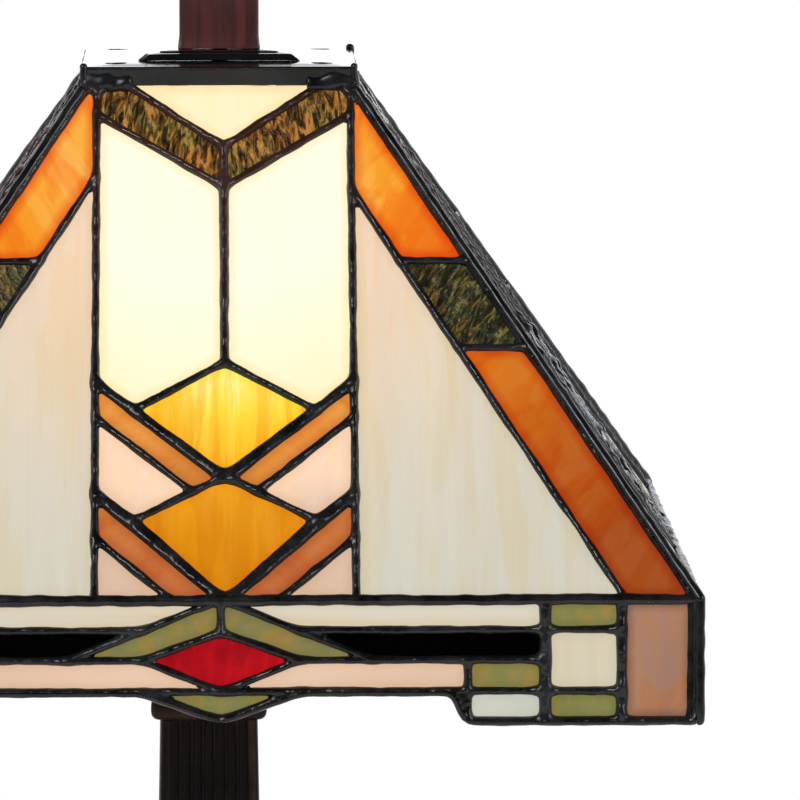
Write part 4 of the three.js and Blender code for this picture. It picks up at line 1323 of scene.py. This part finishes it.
def add_harp():
    top = STUD_LOW[2] - 2.3
    outline = HARP_HALF + [(0, top)] + [(-x, z) for x, z in HARP_HALF[::-1]]
    path = spline([(x + HARP_LEAN * max(0, (z - BEND_Z) / (top - BEND_Z)), 0, z) for x, z in outline], 8)
    shape = bead(path, 2.0, 3, step=2.0, sides=16, lumps=0.0, up=(0, 1, 0))
    publish("harp_bow_wire", shape, BRASS, "stand", "harp_bow", sharp=60)
    seat = STUD_LOW[2]
    profile = above(seat, (0, 0), (8.4, 0), (9, 0.6), (9, 2.4), (8.4, 3), (3, 3.02))
    profile += levels(STUD_R, seat + 3.3, STUD_HIGH[2] - 1, 0.2) + above(STUD_HIGH[2], (2, -0.1), (0, 0))
    shape = turned(profile, 36, (HARP_LEAN, 0), threads(STUD_PITCH, 0.16, STUD_R))
    publish("harp_stud_threaded", shape, BRASS, "stand", "harp_stud")
    for side, sign in (("left", -1), ("right", 1)):
        low, high = (z[2] for z in box_mm(f"harp_ferrule_{side}"))
        end = [(FERRULE_R, 0), (4.2, 0.5), (4.2, 2.4), (FERRULE_R, 2.8), (FERRULE_R, 3.4)]
        wall = above(low, (FERRULE_BORE, 0), *end) + levels(GRIP_R, low + 3.8, high - 3.8, 1.0)
        wall += above(high, *((r, -up) for r, up in end[::-1]), (FERRULE_BORE, 0)) + [(FERRULE_BORE, low)]
        shape = turned(wall, 72, (sign * LEG_X, 0), knurled)
        publish(
            f"harp_ferrule_{side}_knurled", shape, BRASS, f"ferrule_{side}", f"harp_ferrule_{side}",
        )


add_harp()
softened("harp_saddle", 0.35, BRASS, "stand", angle=40)
softened("saddle_nut", 0.5, BRASS, "stand")

# ---- Lampholder and switch ----
SWITCH_Z = 377.0
BULB_PITCH = 3.6
BULB_CAP_R = 12.8
BALL_R, BALL_RISE = 29.85, 29.9  # the bulb's ball: its radius across, and from its middle to the top
SHELL_R, RIB_R = 18.5, 18.15


def add_socket():
    low, high = (corner[2] for corner in box_mm("socket_cap"))
    cap = above(low, (5.5, 0), (9, 0), (9, 2.6), (10.4, 3.6), (14, 6), (16.4, 9), (17.5, 11.5), (18.2, 13))
    cap += [(18.2, high), (16.9, high)]
    cap += above(low, (16.2, 11.6), (13, 7.5), (8, 4.5), (5.5, 4.5), (5.5, 0))
    shape = turned(smoothed(cap, 0.7), 64)
    publish("socket_cap_spun", shape, BRASS, "stand", "socket_cap")
    low, high = (z[2] for z in box_mm("socket_shell"))
    shell = above(low, (17.3, 0), (SHELL_R, 0), (SHELL_R, 3), (RIB_R, 3.4), (SHELL_R, 3.8), (SHELL_R, 5.4))
    shell += above(low, (RIB_R, 5.8), (SHELL_R, 6.2))
    shell += above(high, (SHELL_R, -9), (RIB_R, -8.6), (SHELL_R, -8.2), (SHELL_R, -7), (19.4, -5.6))
    shell += above(high, (19.4, -3.6), (SHELL_R, -2), (SHELL_R, 0), (17.3, 0)) + [(17.3, low)]
    shape = turned(smoothed(shell, 0.4), 72)
    publish("socket_shell_spun", shape, BRASS, "stand", "socket_shell")
    low, high = (z[2] for z in box_mm("socket_screw_shell"))
    outer = levels(14.45, low, high, 0.6)
    inner = levels(13.95, low, high, 0.6)[::-1]
    shape = turned(outer + inner + [outer[0]], 48, radius=threads(BULB_PITCH, 0.14))
    publish("socket_screw_shell_rolled", shape, BRASS, "stand", "socket_screw_shell")
    softened("socket_liner", 0.25, CARD, "stand", angle=40)
    softened("socket_core", 0.25, PORCELAIN, "stand", angle=40)
    softened("socket_contact", 0.25, BRASS, "stand", angle=40)


def facing_front(verts, from_y):
    """Turns what was made along +Z to point along -Y from a given distance, at the height of the switch."""
    x, y, z = np.asarray(verts).T
    return np.column_stack([x, from_y - z, SWITCH_Z + y])


def lobed(angle, _, r):
    return r + 0.42 * np.cos(angle * 10) * np.clip((r - 4.5) / 1.9, 0, 1)


def add_switch():
    low, high = box_mm("switch_stem")
    length = high[1] - low[1]
    profile = [
        [0, 0], [1.8, 0], [2.2, 0.4], [2.2, length - 3], [1.9, length - 2.6], [1.9, length], [0, length],
    ]
    verts, faces = turned(profile, 28)
    stem = facing_front(verts, high[1]), faces
    publish("switch_stem_turned", stem, BRASS, "switch", "switch_stem")
    body = [
        [0, 0], [5.2, 0], [6.0, 0.8], *levels(6.4, 1.2, 9.4, 1.6), [6.0, 10.2], [4.8, 11], [2.0, 10.7],
        [0, 10.6],
    ]
    verts, faces = turned(body, 120, radius=lobed)
    knob = facing_front(verts, box_mm("switch_knob")[1][1]), faces
    publish("switch_knob_fluted", knob, BLACK_PLASTIC, "switch", "switch_knob", sharp=50)


def add_bulb():
    low = box_mm("bulb_contact")[0][2]
    shape = turned(above(low, (0, 0), (3, 0), (4.2, 0.5), (7.6, 1.3), (7.9, 1.7), (0, 1.7)), 32)
    publish("bulb_contact_button", shape, BLACK_PLASTIC, "bulb", "bulb_contact")
    low, high = (z[2] for z in box_mm("bulb_screw_cap"))
    profile = above(low, (0, 0), (8, 0), (12, 3)) + levels(BULB_CAP_R, low + 3.6, high - 3.4, 0.45)
    profile += above(high, (12.9, -2.6), (12.9, 0), (0, 0))
    shape = turned(profile, 48, radius=threads(BULB_PITCH, 0.42, BULB_CAP_R))
    publish("bulb_screw_cap_rolled", shape, THREAD, "bulb", "bulb_screw_cap")
    low, high = (z[2] for z in box_mm("bulb_envelope"))
    ball = high - BALL_RISE
    neck = above(low, (12.9, 0), (13.2, 5), (14.2, 12), (17.4, 21), (22.6, 31))
    flare = spline([*neck, (27.6, ball - 11.4)], 6)[:-1]
    arc = np.radians(np.linspace(-22.5, 90, 24))
    crown = [(BALL_R * math.cos(a), ball + BALL_RISE * math.sin(a)) for a in arc]
    crown[-1] = (0.0, high)
    shape = turned([(0.0, low)] + flare.tolist() + crown, 64)
    shown = publish(
        "bulb_envelope_frosted", shape, BULB, "bulb", ("bulb_envelope", "bulb_filament"),
        sharp=80,
    )
    shown.visible_shadow = False


add_socket()
add_switch()
add_bulb()

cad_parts["threaded_tube"].data.materials.clear()
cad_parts["threaded_tube"].data.materials.append(STEEL)

# ---- Light, floor and camera ----


def stage_material():
    """A pale floor whose painted emission rises towards its edge, so that it fades into the white round it.
    """
    look = Look("stage_floor", Metallic=0.0, Roughness=0.6)
    place = look.place()
    from_middle = look.node("VectorMath", {0: place}, operation="LENGTH").outputs["Value"]
    look.set("Base Color", look.mix(look.noise(place, 4.0, 2.0), (0.86, 0.86, 0.86), (0.9, 0.9, 0.9)))
    look.set("Emission Color", (1.0, 1.0, 1.0))
    # Painted light: emission from nothing at 0.5 m out to 0.6 at the floor's edge.
    look.set("Emission Strength", look.span(from_middle, 0.5, 1.25, 0.0, 0.6))
    return look.material


def add_stage():
    bm = bmesh.new()
    bmesh.ops.create_circle(bm, cap_ends=True, segments=96, radius=1.3)
    mesh = bpy.data.meshes.new("floor")
    bm.to_mesh(mesh)
    bm.free()
    floor = bpy.data.objects.new("floor", mesh)
    floor.location.z = -0.0005
    mesh.materials.append(stage_material())
    bpy.context.scene.collection.objects.link(floor)


# The wall that gloss mirrors: [upward part of the direction, brightness], and the same from front to back
WALL = (
    (-1, 0.04), (-0.26, 0.04), (-0.12, 1.0), (0.13, 1.0), (0.18, 0.2), (0.27, 0.2), (0.34, 1.0), (0.5, 1.0),
    (0.65, 0.05), (1, 0.05),
)
WALL_ENDS = (-0.6, 0.4, 0.06, 1.7)  # dark in front, bright behind
DIFFUSE_WORLD = 0.3
CAMERA_PLACE = (0.0017, -2.8, 0.743)
CAMERA_YAW, CAMERA_PITCH = 1.3589, 6.4314  # degrees to the right, and down
CAMERA_LENS = 357.29


def add_area_light(name, place, aim, size, power):
    light = bpy.data.lights.new(name, "AREA")
    light.shape = "RECTANGLE"
    light.size, light.size_y = size
    light.energy = power
    obj = bpy.data.objects.new(name, light)
    obj.location = place
    obj.rotation_mode = "QUATERNION"
    obj.rotation_quaternion = (Vector(aim) - Vector(place)).to_track_quat("-Z", "Y")
    bpy.context.scene.collection.objects.link(obj)


def add_bulb_light():
    light = bpy.data.lights.new("bulb_light", "POINT")
    light.energy = 4.0
    light.color = (1.0, 0.74, 0.45)
    light.shadow_soft_size = 0.024
    obj = bpy.data.objects.new("bulb_light", light)
    obj.location = (0, 0, BULB_Z * MM)
    bpy.context.scene.collection.objects.link(obj)


def add_world():
    """White for the camera. As a light it is soft and dim, and for gloss it is a bright wall round the back
    and the sides, whose heights are in WALL and whose ends are in WALL_ENDS."""
    world = bpy.data.worlds.new("studio")
    bpy.context.scene.world = world
    world.use_nodes = True
    tree = world.node_tree
    tree.nodes.clear()

    def node(kind, inputs=None, **props):
        return add_node(tree, kind, inputs, props)

    toward = node("SeparateXYZ", {0: node("TexCoord").outputs["Generated"]})
    share = node("MapRange", {"Value": toward.outputs["Z"], "From Min": -1}).outputs[0]
    wall = node("ValToRGB", {"Fac": share})
    stops = wall.color_ramp.elements
    while len(stops) < len(WALL):
        stops.new(0.5)
    for stop, (z, level) in zip(stops, WALL):
        stop.position = (z + 1) / 2
        stop.color = (level, level, level, 1)
    ends = dict(zip(("From Min", "From Max", "To Min", "To Max"), WALL_ENDS))
    behind = node("MapRange", {"Value": toward.outputs["Y"], **ends}, interpolation_type="SMOOTHSTEP")
    level = node("Math", {0: wall.outputs["Color"], 1: behind.outputs[0]}, operation="MULTIPLY")
    gloss = node("Background", {"Color": (0.94, 0.97, 1.0, 1), "Strength": level.outputs[0]})
    soft = node("Background", {"Color": (1, 1, 1, 1), "Strength": DIFFUSE_WORLD})
    plain = node("Background", {"Color": (1, 1, 1, 1), "Strength": 1.0})
    path = node("LightPath")
    lit = node("MixShader", {0: path.outputs["Is Glossy Ray"], 1: soft.outputs[0], 2: gloss.outputs[0]})
    seen = node("MixShader", {0: path.outputs["Is Camera Ray"], 1: lit.outputs[0], 2: plain.outputs[0]})
    node("OutputWorld", {"Surface": seen.outputs[0]})


def add_camera():
    """2.8 m in front of the lamp, a little above it, looking slightly down and to the right of its axis."""
    camera = bpy.data.cameras.new("camera")
    camera.lens = CAMERA_LENS
    camera.sensor_width = 36.0
    camera.clip_start, camera.clip_end = 0.1, 50
    obj = bpy.data.objects.new("camera", camera)
    yaw, pitch = math.radians(CAMERA_YAW), math.radians(CAMERA_PITCH)
    ahead = Vector((math.sin(yaw) * math.cos(pitch), math.cos(yaw) * math.cos(pitch), -math.sin(pitch)))
    obj.location = CAMERA_PLACE
    obj.rotation_mode = "QUATERNION"
    obj.rotation_quaternion = ahead.to_track_quat("-Z", "Y")
    bpy.context.scene.collection.objects.link(obj)
    bpy.context.scene.camera = obj


add_stage()
add_world()
add_bulb_light()
add_area_light("key", (-1.5, -2.0, 1.9), (0, 0, 0.35), (1.2, 0.9), 42)
add_area_light("fill", (2.2, -1.4, 1.2), (0, 0, 0.35), (0.7, 1.4), 24)
add_area_light("back", (0.6, 2.0, 1.9), (0, 0, 0.4), (1.6, 0.8), 26)
add_camera()
bpy.context.scene.view_settings.view_transform = "Standard"
